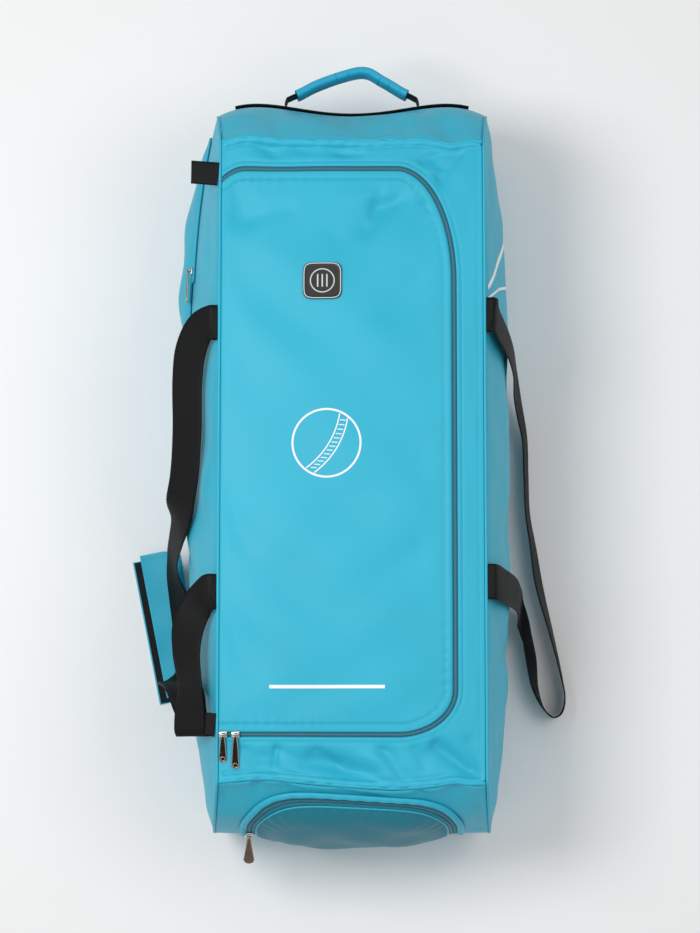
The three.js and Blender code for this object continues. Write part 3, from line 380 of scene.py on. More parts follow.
# Side walls
# One long coated cloth each, from the base seam to the deck seam, that sags outwards between
# them. The left one carries a pocket, the right one two plain slanted stripes.
SIDE_BULGE = {1: 0.029, -1: 0.038}
SIDE_FOLDS = {
    1: [
        {"from": (0.9, 0.92), "to": (0.72, 0.3), "depth": 0.16, "spread": 0.09},
        {"from": (0.3, 0.9), "to": (0.22, 0.35), "depth": 0.12, "spread": 0.1},
        {"from": (-0.12, 0.88), "to": (-0.2, 0.2), "depth": 0.1, "spread": 0.12},
        {"from": (-0.45, 0.9), "to": (-0.55, 0.35), "depth": 0.18, "spread": 0.08},
        {"from": (-0.75, 0.9), "to": (-0.88, 0.4), "depth": 0.18, "spread": 0.09},
        {"from": (0.6, 0.15), "to": (-0.1, 0.12), "depth": 0.12, "spread": 0.08},
    ],
    -1: [
        {"from": (0.05, 0.86), "to": (-0.05, 0.3), "depth": 0.12, "spread": 0.1},
        {"from": (-0.3, 0.86), "to": (-0.34, 0.25), "depth": 0.12, "spread": 0.1},
        {"from": (-0.6, 0.88), "to": (-0.72, 0.3), "depth": 0.16, "spread": 0.09},
        {"from": (-0.85, 0.86), "to": (-0.9, 0.4), "depth": 0.16, "spread": 0.09},
    ],
}
TRIM = (WELT + SEAT) / (SEAM_HEIGHT - WELT)


def side_surface(side, u, v):
    """Middle of a side wall's cloth: u runs -1 to 1 along the bag, v up it."""
    fullness = 4 * v * (1 - v) * (1 - np.abs(u) ** 3.5)
    crease = folding(SIDE_FOLDS[side], u, v, REACH[1], SEAM_HEIGHT, SEAM_HEIGHT)
    x = corner_half(v) + SIDE_BULGE[side] * fullness * (1 - crease)
    reach = np.where(u < 0, REACH[-1], REACH[1])
    return stack(side * x, u * reach * end_share(v), height_at(v))


def last_share(end, v):
    """The last of the side wall beside the seam at an end, where the end wall slopes."""
    rise = REACH[end] * (end_share(v + 0.01) - end_share(v - 0.01)) / (0.02 * SEAM_HEIGHT)
    return end * (1 - 1.1 * (WELT + SEAT) * np.hypot(1, rise) / REACH[end] / end_share(v))


def side_relief(side, u, v):
    """Fine unevenness of a side wall: puckers at its seams and slack between them."""
    along = u * REACH[1]
    up = v * SEAM_HEIGHT
    edge = np.minimum(v, 1 - v) * SEAM_HEIGHT
    pucker = np.sin(2 * math.pi * along / 0.017 + 2 * np.sin(along / 0.05))
    ditch = -0.0007 * np.exp(-((edge - 0.007) / 0.0016) ** 2)
    free = smooth(edge, 0.004, 0.05) * smooth(1 - np.abs(u), 0.005, 0.08)
    seam_play = 0.0006 * pucker * np.exp(-edge / 0.012) * smooth(edge, 0.001, 0.006)
    if side < 0:
        pocket = np.maximum(np.abs(along - 0.318) / 0.17, np.abs(up - 0.145) / 0.11)
        free = free * smooth(pocket, 0.9, 1.2)
    return ditch + seam_play + 0.0032 * free * slack(along + side, up, 0.045)


def side_place(side):
    def place(s, t):
        v = lerp(1.1 * TRIM, 1 - 1.1 * TRIM, s)
        u = lerp(last_share(-1, v), last_share(1, v), t)
        points = side_surface(side, u, v)
        points[:, 0] += side * side_relief(side, u, v)
        return points
    return place


for side, label in ((-1, "left"), (1, "right")):
    wall = skin(label + "_side_cloth", 74, 210, side_place(side), (0.36, 0.98))
    face_out(wall, (side, 0, 0))
    belong(thicken(wall, CLOTH), teal_cloth, "coated_cloth", label + "_side_panel")

# End walls
# A coated cloth at each end, sloping in to the top above the middle. A ridge seam, pinched here
# and there, joins each to the top.


def end_relief(end, s, v):
    across = s * DECK_WIDTH / 2
    below = (1 - v) * SEAM_HEIGHT
    pinch = folding(END_PINCHES[end], s, v, DECK_WIDTH / 2, SEAM_HEIGHT, SEAM_HEIGHT) / 1000
    roll = 0.0016 * np.exp(-((below - 0.004) / 0.004) ** 2)
    ditch = -0.0006 * np.exp(-((below - 0.011) / 0.0016) ** 2)
    free = (1 - s * s) * smooth(below, 0.012, 0.05) * smooth(v, 0.03, 0.2)
    clear = smooth(1 - np.abs(s), 0, 0.06)
    held = np.maximum(np.abs(v * SEAM_HEIGHT - 0.19) / 0.04, np.abs(across) / 0.18)
    pocket = np.maximum(np.abs(v * SEAM_HEIGHT - 0.19) / 0.14, np.abs(across) / 0.165)
    free = free * smooth(held if end > 0 else pocket, 0.8, 1.3)
    pinch = pinch * smooth(held if end > 0 else pocket, 0.75, 1.0)
    return clear * (roll + ditch - pinch) + 0.0034 * free * slack(across, v * SEAM_HEIGHT + end, 0.04)


def end_place(end):
    def place(s, t):
        v = lerp(1.2 * 0.0015 / SEAM_HEIGHT, 1 - 0.0015 / SEAM_HEIGHT, t)
        edge = 1 - (WELT + SEAT) / corner_half(v)
        across = lerp(-edge, edge, s)
        points = end_surface(end, across, v)
        near_top = np.exp(-(((1 - v) * SEAM_HEIGHT) / 0.05) ** 2)
        shift = end_relief(end, across, v) + stray(end, points[:, 0]) * near_top
        points[:, 1] += end * shift
        return points
    return place


for end, label in ((1, "handle"), (-1, "pocket")):
    wall = skin(label + "_end_cloth", 84, 84, end_place(end), (0.35, 0.36))
    face_out(wall, (0, end, 0))
    belong(thicken(wall, CLOTH), teal_cloth, "coated_cloth", label + "_end_panel")

# Corded seams
# A cloth-covered cord sewn between each side wall and its neighbours, all the way round it.


def walk(points, normals, count, ring=False):
    """Evenly spaced places along a line, with the way on and the way up at each."""
    points = np.asarray(points, float)
    normals = np.asarray(normals, float)
    if ring:
        points = np.vstack([points, points[:1]])
        normals = np.vstack([normals, normals[:1]])
    gone = np.concatenate([[0], np.cumsum(np.linalg.norm(np.diff(points, axis=0), axis=1))])
    wanted = np.linspace(0, gone[-1], count + 1)
    places, up = (np.stack([np.interp(wanted, gone, rows[:, k]) for k in range(3)], axis=1)
                  for rows in (points, normals))
    ahead = np.gradient(places, axis=0)
    if ring:
        ahead[0] = ahead[-1] = places[1] - places[-2]
    ahead /= np.linalg.norm(ahead, axis=1, keepdims=True)
    up -= ahead * np.sum(up * ahead, axis=1, keepdims=True)
    up /= np.linalg.norm(up, axis=1, keepdims=True)
    return places, ahead, up, gone[-1]


def line_length(points):
    return float(np.sum(np.linalg.norm(np.diff(np.asarray(points), axis=0), axis=1)))


def tube(name, points, normals, radius, sides, step, ring=False, flat=1.0):
    """A round or flattened tube along a line."""
    count = max(int(line_length(points) / step), 4)
    places, ahead, up, length = walk(points, normals, count, ring)
    aside = np.cross(ahead, up)

    def place(s, t):
        k = np.rint(t * count).astype(int)
        angle = s * 2 * math.pi
        out = aside[k] * np.cos(angle)[:, None] + up[k] * (flat * np.sin(angle))[:, None]
        return places[k] + radius * out

    piece = skin(name, sides, count, place, (2 * math.pi * radius, length), True)
    return close_ends(piece)


def close_ends(piece, fill=True):
    """Fills the open rims of a mesh, if asked to, and turns its faces out."""
    mesh = bmesh.new()
    mesh.from_mesh(piece.data)
    rims = [edge for edge in mesh.edges if edge.is_boundary]
    if fill and rims:
        bmesh.ops.holes_fill(mesh, edges=rims, sides=0)
    bmesh.ops.recalc_face_normals(mesh, faces=mesh.faces)
    mesh.to_mesh(piece.data)
    mesh.free()
    return piece


def repeat(name, template, frames):
    """One mesh of a small shape set at every frame."""
    mesh = bmesh.new()
    for matrix in frames:
        copy = template.copy()
        copy.transform(matrix)
        mesh.from_mesh(copy)
        bpy.data.meshes.remove(copy)
    data = bpy.data.meshes.new(name)
    mesh.to_mesh(data)
    mesh.free()
    piece = bpy.data.objects.new(name, data)
    bpy.context.collection.objects.link(piece)
    return piece


def small_shape(name, build):
    mesh = bmesh.new()
    build(mesh)
    for face in mesh.faces:
        face.smooth = True
    data = bpy.data.meshes.new(name)
    mesh.to_mesh(data)
    mesh.free()
    return data


def frames_along(points, normals, pitch, lift=0.0, ring=False):
    """Frames at a pitch along a line: x ahead, z up."""
    count = max(int(line_length(points) / pitch), 1)
    places, ahead, up, _ = walk(points, normals, 2 * count, ring)
    aside = np.cross(up, ahead)
    frames = []
    for k in range(1, 2 * count, 2):
        frame_matrix = Matrix((ahead[k], aside[k], up[k])).transposed().to_4x4()
        frame_matrix.translation = Vector(places[k] + lift * up[k])
        frames.append(frame_matrix)
    return frames


def stitch_shape(mesh):
    bmesh.ops.create_uvsphere(mesh, u_segments=6, v_segments=3, radius=1)
    bmesh.ops.rotate(mesh, verts=mesh.verts, matrix=Matrix.Rotation(math.pi / 2, 3, "Y"))
    bmesh.ops.scale(mesh, verts=mesh.verts, vec=(0.00125, 0.00034, 0.00026))


STITCH = small_shape("stitch", stitch_shape)
STITCH_PITCH = 0.0033


def side_seam(side):
    """Middle line of the cord round a side wall."""
    rows = np.linspace(-1, 1, 120)
    steps = np.linspace(1.1 * TRIM, 1 - 1.1 * TRIM, 40)
    top = side_surface(side, rows, 1.0)
    far = side_surface(side, np.ones(40), steps[::-1])
    low = side_surface(side, rows[::-1], 0.0)
    near = side_surface(side, -np.ones(40), steps)
    return np.vstack([top, far, low, near])


def thread(name, colour):
    return Graph(name, Base_Color=(*colour, 1), Roughness=0.5).material


teal_thread = thread("teal_thread", srgb(44, 150, 186))
black_thread = thread("black_thread", srgb(44, 46, 50))

for side, label in ((-1, "left"), (1, "right")):
    line = side_seam(side)
    outward = np.tile((side, 0.0, 0.0), (len(line), 1))
    cord = tube(label + "_seam_cord", line, outward, WELT, 10, 0.004, ring=True)
    belong(cord, teal_cloth, "coated_cloth", "seam_welt_" + label)

    u = np.linspace(-0.985, 0.985, 300)
    v = np.full(300, 1 - 0.0072 / SEAM_HEIGHT)
    row = side_surface(side, u, v)
    row[:, 0] += side * (side_relief(side, u, v) + CLOTH / 2)
    frames = frames_along(row, np.tile((side, 0.0, 0.15), (300, 1)), STITCH_PITCH, 0.0001)
    belong(repeat(label + "_seam_stitches", STITCH, frames), teal_thread, "coated_cloth")

# Top border
# The part of the top round the lid, sewn to the side seams and the ridges. Its inner edge is
# turned under beside the zip, and slack creases run across it at the ends.
DECK_CROWN = 0.011
ZIP_SLOT = 0.007
ZIP_TAPE = 0.022
LID_FLANGE = 0.02
LID_HALF = DECK_WIDTH / 2 - WELT - SEAT
LID = {"right": 0.133, "top": 0.384, "bottom": -0.353}
LID_CORNER = {"across": 0.074, "top": 0.148, "bottom": 0.057}
ZIP_DIP = {"depth": 0.014, "run": 0.03}
STITCH_IN = 0.0135
DECK_FOLDS = [
    {"from": (0.62, 0.93), "to": (0.2, 0.8), "depth": 0.42, "spread": 0.045},
    {"from": (0.3, 0.83), "to": (-0.1, 0.7), "depth": 0.3, "spread": 0.06},
    {"from": (-0.42, 0.96), "to": (-0.36, 0.9), "depth": 0.5, "spread": 0.06},
    {"from": (-0.66, 0.96), "to": (-0.6, 0.9), "depth": 0.5, "spread": 0.05},
    {"from": (-0.1, 0.97), "to": (-0.06, 0.92), "depth": 0.4, "spread": 0.05},
    {"from": (-0.9, 0.84), "to": (-0.85, 0.76), "depth": 0.35, "spread": 0.06},
    {"from": (-0.66, -0.89), "to": (-0.6, -0.97), "depth": 0.45, "spread": 0.04},
    {"from": (-0.3, -0.9), "to": (-0.02, -0.96), "depth": 0.5, "spread": 0.05},
    {"from": (0.12, -0.9), "to": (0.3, -0.97), "depth": -0.4, "spread": 0.04},
    {"from": (0.6, -0.9), "to": (0.92, -0.97), "depth": 0.45, "spread": 0.05},
]
# Finer creases of the deck, ends in metres, depth in millimetres, spread in metres
DECK_CREASES = [
    {"from": (0.140, 0.412), "to": (0.098, 0.345), "depth": 5.7, "spread": 0.010},
    {"from": (0.128, 0.415), "to": (0.092, 0.395), "depth": 3.2, "spread": 0.007},
    {"from": (0.062, 0.345), "to": (0.020, 0.305), "depth": 4.6, "spread": 0.014},
    {"from": (0.036, 0.352), "to": (0.028, 0.325), "depth": 2.7, "spread": 0.008},
    {"from": (-0.150, 0.350), "to": (-0.140, 0.318), "depth": 3.0, "spread": 0.015},
    {"from": (-0.125, 0.322), "to": (-0.085, 0.330), "depth": 1.9, "spread": 0.012},
    {"from": (-0.110, 0.418), "to": (-0.102, 0.396), "depth": 3.2, "spread": 0.012},
    {"from": (-0.060, 0.410), "to": (0.010, 0.404), "depth": 1.9, "spread": 0.009},
    {"from": (-0.020, 0.418), "to": (-0.012, 0.398), "depth": 3.0, "spread": 0.014},
    {"from": (0.085, 0.24), "to": (0.05, 0.19), "depth": 1.8, "spread": 0.016},
    {"from": (0.080, -0.12), "to": (0.03, -0.16), "depth": 1.6, "spread": 0.02},
    {"from": (-0.165, -0.05), "to": (-0.135, -0.11), "depth": 1.9, "spread": 0.016},
    {"from": (-0.165, -0.21), "to": (-0.13, -0.28), "depth": 1.9, "spread": 0.018},
    {"from": (-0.142, -0.368), "to": (-0.120, -0.400), "depth": 3.2, "spread": 0.008},
    {"from": (-0.097, -0.366), "to": (-0.099, -0.396), "depth": 4.6, "spread": 0.005},
    {"from": (-0.094, -0.372), "to": (-0.064, -0.392), "depth": 2.4, "spread": 0.007},
    {"from": (-0.050, -0.388), "to": (0.026, -0.402), "depth": 5.9, "spread": 0.012},
    {"from": (-0.046, -0.371), "to": (-0.020, -0.388), "depth": 3.2, "spread": 0.007},
    {"from": (0.040, -0.370), "to": (0.066, -0.405), "depth": 5.1, "spread": 0.009},
    {"from": (0.080, -0.368), "to": (0.092, -0.392), "depth": 3.2, "spread": 0.007},
    {"from": (0.108, -0.366), "to": (0.162, -0.412), "depth": 6.8, "spread": 0.009},
    {"from": (0.150, -0.362), "to": (0.158, -0.395), "depth": 3.2, "spread": 0.008},
]


def lid_outline():
    """Middle line of the lid zip, from the left seam round the D and back to it."""
    turn = LID["right"] - LID_CORNER["across"]
    x = np.linspace(-LID_HALF, turn, 60)
    dip = ZIP_DIP["depth"] * np.maximum(0, 1 - (x + LID_HALF) / ZIP_DIP["run"]) ** 2
    top = np.stack([x, LID["top"] - dip], axis=1)
    angle = np.linspace(math.pi / 2, 0, 40)[1:]
    high = np.stack([turn + LID_CORNER["across"] * np.cos(angle),
                     LID["top"] - LID_CORNER["top"] * (1 - np.sin(angle))], axis=1)
    y = np.linspace(LID["top"] - LID_CORNER["top"], LID["bottom"] + LID_CORNER["bottom"], 80)[1:]
    right = np.stack([np.full(79, LID["right"]), y], axis=1)
    fall = math.pi / 2 - angle
    low = np.stack([turn + LID_CORNER["across"] * np.cos(fall),
                    LID["bottom"] + LID_CORNER["bottom"] * (1 - np.sin(fall))], axis=1)
    bottom = np.stack([np.linspace(turn, -LID_HALF, 60)[1:], np.full(59, LID["bottom"])], axis=1)
    return np.vstack([top, high, right, low, bottom])


OUTLINE = lid_outline()
OUTLINE_RUN = np.concatenate([[0], np.cumsum(np.linalg.norm(np.diff(OUTLINE, axis=0), axis=1))])


def outline_gap(x, y):
    """Distance in from the zip's middle line, negative outside the lid, and how far along it."""
    start, run = OUTLINE[:-1], np.diff(OUTLINE, axis=0)
    gaps, alongs = [], []
    for px, py in zip(np.array_split(x, 40), np.array_split(y, 40)):
        past = np.stack([px, py], axis=1)[:, None, :] - start
        t = np.clip(np.sum(past * run, axis=2) / np.sum(run * run, axis=1), 0, 1)
        apart = past - t[..., None] * run
        gap = np.hypot(apart[..., 0], apart[..., 1])
        best = np.argmin(gap, axis=1)
        pick = (np.arange(len(px)), best)
        inward = run[best, 1] * past[pick][:, 0] - run[best, 0] * past[pick][:, 1]
        gaps.append(np.where(inward > 0, gap[pick], -gap[pick]))
        alongs.append(OUTLINE_RUN[best] + t[pick] * np.linalg.norm(run[best], axis=1))
    return np.concatenate(gaps), np.concatenate(alongs)


def deck_points(x, y, lift=0.0):
    """The top's cloth, folds and seams included, raised by lift."""
    x, y = (np.atleast_1d(np.asarray(value, float)) for value in (x, y))
    end = np.where(y < 0, -1, 1)
    far = np.where(y < 0, ridge(-1, x), ridge(1, x))
    s = np.clip(x / (DECK_WIDTH / 2), -1, 1)
    t = np.clip(np.abs(y) / far, 0, 1)
    edge = (1 - s * s) * (1 - t**4)
    gap, along = outline_gap(x, y)
    on_lid = (x < LID["right"]) & (y < LID["top"]) & (y > LID["bottom"])
    flat_edge = ZIP_TAPE / 2 + np.where(on_lid, LID_FLANGE, 0.002)
    apart = np.abs(gap)
    clear = smooth((apart - flat_edge) / LID_FLANGE, 0, 1)
    reach = np.where(y < 0, REACH[-1], REACH[1]) * END_PROFILE[4]["reach"]
    crease = folding(DECK_FOLDS, s, end * t, DECK_WIDTH / 2, reach, DECK_WIDTH)
    border = smooth(1 - t, 0, 0.04) * smooth(1 - np.abs(s), 0, 0.1)
    z = SEAM_HEIGHT + DECK_CROWN * (edge - crease * clear * border)

    below = far - np.abs(y)
    pucker = np.sin(2 * math.pi * along / 0.013 + 2.6 * np.sin(along / 0.031) + np.sin(along / 0.009))
    pucker = pucker * (0.55 + 0.45 * np.sin(along / 0.047 + 1.0))
    past_stitch = gap - STITCH_IN
    band = 0.0008 * smooth(gap, 0.003, 0.0055) * (1 - smooth(gap, 0.0118, STITCH_IN))
    groove = -0.0014 * np.exp(-((past_stitch - 0.0003) / 0.0013) ** 2)
    drawn = 0.0011 * pucker * np.exp(-np.abs(past_stitch) / 0.005) * smooth(gap, 0.006, 0.012)
    turned = 0.0007 * smooth(-gap, 0.003, 0.0045) * (1 - smooth(-gap, 0.006, 0.009))
    outer_groove = -0.001 * np.exp(-((gap + 0.0095) / 0.0012) ** 2)
    seam_play = np.sin(2 * math.pi * x / 0.021 + 1.4 * np.sin(x / 0.03))
    roll = 0.0019 * np.exp(-((below - 0.0035) / 0.004) ** 2) * (1 + 0.25 * seam_play)
    ditch = -0.0012 * np.exp(-((below - 0.0105) / 0.0022) ** 2) * (1 + 0.3 * seam_play)
    hem = -0.0005 * np.exp(-((DECK_WIDTH / 2 - np.abs(x) - 0.009) / 0.0015) ** 2)
    open_cloth = smooth(np.minimum(apart - 0.012, np.minimum(below, LID_HALF - np.abs(x))), 0, 0.04)
    fine = folding(DECK_CREASES, x, y, 1, 1, 1) / 1000 * smooth(apart, 0.009, 0.02)
    fine = fine * smooth(below, 0.004, 0.02) * smooth(DECK_WIDTH / 2 - np.abs(x), 0.004, 0.02)
    sides = smooth(DECK_WIDTH / 2 - np.abs(x), 0.002, 0.01)
    z = z + band + groove + drawn + turned + outer_groove + sides * (roll + ditch) + hem - fine
    z = z + 0.0026 * open_cloth * slack(x, y, 0.05)
    shifted = y + end * stray_at(end, x) * np.exp(-((below / 0.035) ** 2))
    return stack(x, shifted, z + lift)


def stray_at(end, x):
    return np.where(end < 0, stray(-1, x), stray(1, x))


def deck_lift(x, y, lift):
    """The same, raised square to the cloth, with the way up at each place."""
    up = normals_of(lambda a, b: deck_points(a, b), np.asarray(x, float), np.asarray(y, float), 0.0008)
    return deck_points(x, y) + lift * up, up


def edge_at(end, x):
    return end * (float(ridge(end, x)) - 0.0015)


def border_edge(k, inner):
    """Where the border ends, opposite a place of the lid's outline."""
    turn = LID["right"] - LID_CORNER["across"]
    x, y = inner
    top, low = LID["top"] - LID_CORNER["top"], LID["bottom"] + LID_CORNER["bottom"]
    if k < 60:
        return x, edge_at(1, x)
    if k >= len(OUTLINE) - 59:
        return x, edge_at(-1, x)
    if low <= y <= top:
        return LID_HALF, y
    end = 1 if y > 0 else -1
    inner_y = top if y > 0 else low
    t = (x - turn) / LID_CORNER["across"]
    angle = math.acos(min(max(t, 0), 1)) / (math.pi / 2)
    t = 1 - angle
    if t <= 0.5:
        place = lerp(turn, LID_HALF, t * 2)
        return place, edge_at(end, place)
    return LID_HALF, lerp(edge_at(end, LID_HALF), inner_y, t * 2 - 1)


def outline_normals():
    ahead = np.gradient(OUTLINE, axis=0)
    ahead /= np.linalg.norm(ahead, axis=1, keepdims=True)
    ahead[0] = (1, 0)
    ahead[-1] = (-1, 0)
    return np.stack([-ahead[:, 1], ahead[:, 0]], axis=1)


OUT = outline_normals()
BORDER = np.array([border_edge(k, OUTLINE[k]) for k in range(len(OUTLINE))])


def along_outline(rows, t):
    return np.stack([np.interp(t, OUTLINE_RUN / OUTLINE_RUN[-1], rows[:, k]) for k in (0, 1)], axis=1)


def border_place(s, t):
    inner = along_outline(OUTLINE + OUT * ZIP_SLOT / 2, t)
    outer = along_outline(BORDER, t)
    flat = lerp(inner, outer, s[:, None])
    return deck_points(flat[:, 0], flat[:, 1])


border = face_out(skin("top_border_cloth", 26, 560, border_place, (0.05, 1.95)), (0, 0, 1))
belong(thicken(border, CLOTH), teal_cloth, "coated_cloth", "top_border_panel")


def ridge_line(end, low=-1.0, high=1.0, count=260):
    """The folded seam where an end wall meets the top."""
    x = np.linspace(low * LID_HALF, high * LID_HALF, count)
    y = end * (ridge(end, x) + stray(end, x) - 0.0012)
    play = np.sin(2 * math.pi * x / 0.026 + 1.9 * np.sin(x / 0.023))
    return stack(x, y, SEAM_HEIGHT + 0.0004 + 0.0004 * play)


for end, label in ((1, "handle"), (-1, "pocket")):
    line = ridge_line(end)
    roll = tube(label + "_ridge_fold", line, np.tile((0.0, 0.0, 1.0), (len(line), 1)), 0.0026, 12, 0.002)
    belong(roll, teal_cloth, "coated_cloth")
    stitches = line + np.array((0.0, -0.0075 * end, 0.0016))
    frames = frames_along(stitches[4:-4], np.tile((0.0, 0.0, 1.0), (len(line) - 8, 1)), STITCH_PITCH)
    belong(repeat(label + "_ridge_stitches", STITCH, frames), teal_thread, "coated_cloth")

# Lid
# One coated cloth, sewn to the bag along the left seam only. A folded facing edges it beside
# the zip, and the line of stitches behind the facing draws the cloth into small puckers.


def lid_place(s, t):
    y_low, y_high = LID["bottom"] + ZIP_SLOT / 2, LID["top"] - ZIP_SLOT / 2
    turn = LID["right"] - LID_CORNER["across"]
    eased = np.cos(math.pi * lerp(0.04, 0.96, t)) / math.cos(math.pi * 0.04)
    y = lerp(y_low, y_high, 0.5 - 0.5 * eased)
    across = LID_CORNER["across"] - ZIP_SLOT / 2
    high = np.clip((y - (LID["top"] - LID_CORNER["top"])) / (LID_CORNER["top"] - ZIP_SLOT / 2), 0, 1)
    low = (LID["bottom"] + LID_CORNER["bottom"] - y) / (LID_CORNER["bottom"] - ZIP_SLOT / 2)
    low = np.clip(low, 0, 1)
    right = turn + across * np.sqrt(np.maximum(0, 1 - np.maximum(high, low) ** 2))
    x = lerp(-LID_HALF, right, s)
    drop = ZIP_DIP["depth"] * np.maximum(0, 1 - (x + LID_HALF) / ZIP_DIP["run"]) ** 2
    fade = smooth(y, LID["top"] - 0.1, y_high)
    return deck_points(x, y - drop * fade)


lid = face_out(skin("lid_cloth", 90, 200, lid_place, (0.3, 0.73)), (0, 0, 1))
belong(thicken(lid, CLOTH), teal_cloth, "coated_cloth", "lid_panel")


def offset_line(inset, low=0.0, high=1.0, count=520):
    flat = along_outline(OUTLINE - OUT * inset, np.linspace(low, high, count))
    return deck_lift(flat[:, 0], flat[:, 1], CLOTH / 2)


seam_points, seam_up = offset_line(STITCH_IN, 0.004, 0.996)
lid_stitches = frames_along(seam_points, seam_up, STITCH_PITCH, 0.0001)
edge_points, edge_up = offset_line(-0.0095, 0.004, 0.996)
edge_stitches = frames_along(edge_points, edge_up, STITCH_PITCH, 0.0001)
belong(repeat("lid_stitches", STITCH, lid_stitches), teal_thread, "coated_cloth")
belong(repeat("border_stitches", STITCH, edge_stitches), teal_thread, "coated_cloth")

# Lid zip
# Two woven tapes under the cloth's edges, and between them a nylon coil whose turns lock into
# each other all the way round the D.
TOOTH_PITCH = 0.00085


def tooth_shape(mesh):
    bmesh.ops.create_uvsphere(mesh, u_segments=6, v_segments=4, radius=1)
    bmesh.ops.rotate(mesh, verts=mesh.verts, matrix=Matrix.Rotation(math.pi / 2, 3, "X"))
    bmesh.ops.scale(mesh, verts=mesh.verts, vec=(0.0006, 0.0018, 0.0008))


TOOTH = small_shape("tooth", tooth_shape)


def coil(name, points, normals, lift):
    """Two rows of turns that lock along a line, at a lift above it."""
    turns = frames_along(points, normals, TOOTH_PITCH, lift)
    for k, turn in enumerate(turns):
        turn.translation += turn.to_3x3() @ Vector((0, (0.0009, -0.0009)[k % 2], 0))
    return repeat(name, TOOTH, turns)


def strip(name, points, normals, width, columns, step, lift=0.0, profile=None):
    """A flat strip along a line; profile(s) raises it across its width."""
    count = max(int(line_length(points) / step), 2)
    places, ahead, up, length = walk(points, normals, count)
    aside = np.cross(up, ahead)

    def place(s, t):
        k = np.rint(t * count).astype(int)
        rise = lift + (profile(s, t * length) if profile else 0 * s)
        return places[k] + aside[k] * ((s - 0.5) * width)[:, None] + up[k] * rise[:, None]

    return skin(name, columns, count, place, (width, length))


# Zip tape colour: the bag's teal painted darker, as painted shade for the zip's recess between the cloth
# edges.
def zip_tape_material():
    tape = Graph("zip_tape_painted_shade", Base_Color=(*srgb(38, 122, 150), 1), Roughness=0.6)
    s, t = tape.cloth_place()
    twill = (s * 5200.0 + t * 5200.0).wave()
    tape.bump(twill, 0.0001, 0.5)
    return tape.material


zip_tape_painted_shade = zip_tape_material()
# Zip coil colour: a grey teal painted darker, as painted shade for the zip's recess.
coil_nylon_painted_shade = Graph("coil_nylon_painted_shade", Base_Color=(*srgb(70, 134, 152), 1), Roughness=0.34).material

middle_points, middle_up = offset_line(0.0, 0.0, 1.0, 700)
tape_line = middle_points - middle_up * (CLOTH / 2)
tape = strip("lid_zip_tape", tape_line, middle_up, ZIP_TAPE, 6, 0.004, -0.0021)
belong(thicken(face_out(tape, (0, 0, 1)), 0.001), zip_tape_painted_shade, "zip_coil", "lid_zip")
belong(coil("lid_zip_coil", tape_line, middle_up, -0.0002), coil_nylon_painted_shade, "zip_coil")

# Side pocket
# A domed pocket on the left wall near the handle end, seamed all round, with a straight zip
# along its upper edge.
SIDE_POCKET = {"along": 0.318, "middle": 0.135, "half": (0.148, 0.075), "bulge": 0.012,
               "corner": 4, "lean": -0.3}


def left_wall(y, z):
    reach = np.where(y < 0, REACH[-1], REACH[1])
    return side_surface(-1, y / reach, share_at(z))


def low_end(x, z):
    v = share_at(z)
    points = end_surface(-1, x / corner_half(v), v)
    near_top = np.exp(-(((1 - v) * SEAM_HEIGHT) / 0.05) ** 2)
    points[..., 1] -= stray(-1, x) * near_top
    return points


def high_end(x, z):
    v = share_at(z)
    return end_surface(1, x / corner_half(v), v)


def stand_off(surface, outward, a, b, lift):
    """Places over a wall at a height above it, with the way out of the wall at each."""
    out = normals_of(surface, a, b)
    facing = np.sign(out @ np.asarray(outward, float))
    out = out * facing[:, None]
    return surface(a, b) + out * np.broadcast_to(lift, a.shape)[:, None], out


def rim_place(pocket, s, r):
    """Place on a wall at a share s round the pocket and a share r out from its middle."""
    angle = s * 2 * math.pi
    c, d = np.cos(angle), np.sin(angle)
    flat = (np.abs(c) ** pocket["corner"] + np.abs(d) ** pocket["corner"]) ** (-1 / pocket["corner"])
    a = pocket["half"][0] * c * flat * r
    b = pocket["half"][1] * d * flat * r
    return a, b


def pocket_place(pocket, surface, outward, draw):
    def place(s, t):
        r = 1 - t**1.3
        a, b = rim_place(pocket, s, r)
        girth = s * 2 * (pocket["half"][0] + pocket["half"][1]) * 1.85
        pucker = np.sin(2 * math.pi * girth / 0.019 + 2 * np.sin(girth / 0.06))
        rise = pocket["bulge"] * (1 - r**4) * (1 + pocket["lean"] * a / pocket["half"][0])
        drawn = draw * pucker * np.exp(-(1 - r) / 0.08) * smooth(1 - r, 0.0, 0.04)
        play = 0.003 * slack(a + 0.3, b, 0.035) * smooth(1 - r, 0.05, 0.35)
        lift = CLOTH / 2 + SEAT + CLOTH / 2 + rise + drawn + play
        centre = pocket.get("along", 0.0)
        return stand_off(surface, outward, centre + a, pocket["middle"] + b, lift)[0]
    return place


def pocket_rim(pocket, surface, outward, inset, lift, count=240):
    s = np.linspace(0, 1, count, endpoint=False)
    a, b = rim_place(pocket, s, inset)
    return stand_off(surface, outward, pocket.get("along", 0.0) + a, pocket["middle"] + b, lift)


def pocket_stitches(name, pocket, surface, outward, draw, t):
    """A row of stitches on a pocket's cloth, at a share in from its edge."""
    share = np.linspace(0, 1, 600, endpoint=False)
    rows = pocket_place(pocket, surface, outward, draw)(share, np.full(600, t))
    out = np.tile(np.array(outward, float), (600, 1))
    frames = frames_along(rows, out, STITCH_PITCH, CLOTH / 2 + 0.0001, True)
    return belong(repeat(name, STITCH, frames), teal_thread, "coated_cloth")


LEFT = (-1, 0, 0)
dome = skin("side_pocket_cloth", 260, 44, pocket_place(SIDE_POCKET, left_wall, LEFT, 0.0009),
            (0.84, 0.13), True)
belong(thicken(face_out(dome, LEFT), CLOTH), teal_cloth, "coated_cloth", "side_pocket_panel")
rim, rim_up = pocket_rim(SIDE_POCKET, left_wall, LEFT, 1.0, 0.0034)
binding = tube("side_pocket_seam", rim, rim_up, 0.0016, 8, 0.004, ring=True)
belong(binding, teal_cloth, "coated_cloth")
pocket_stitches("side_pocket_stitches", SIDE_POCKET, left_wall, LEFT, 0.0009, 0.1)

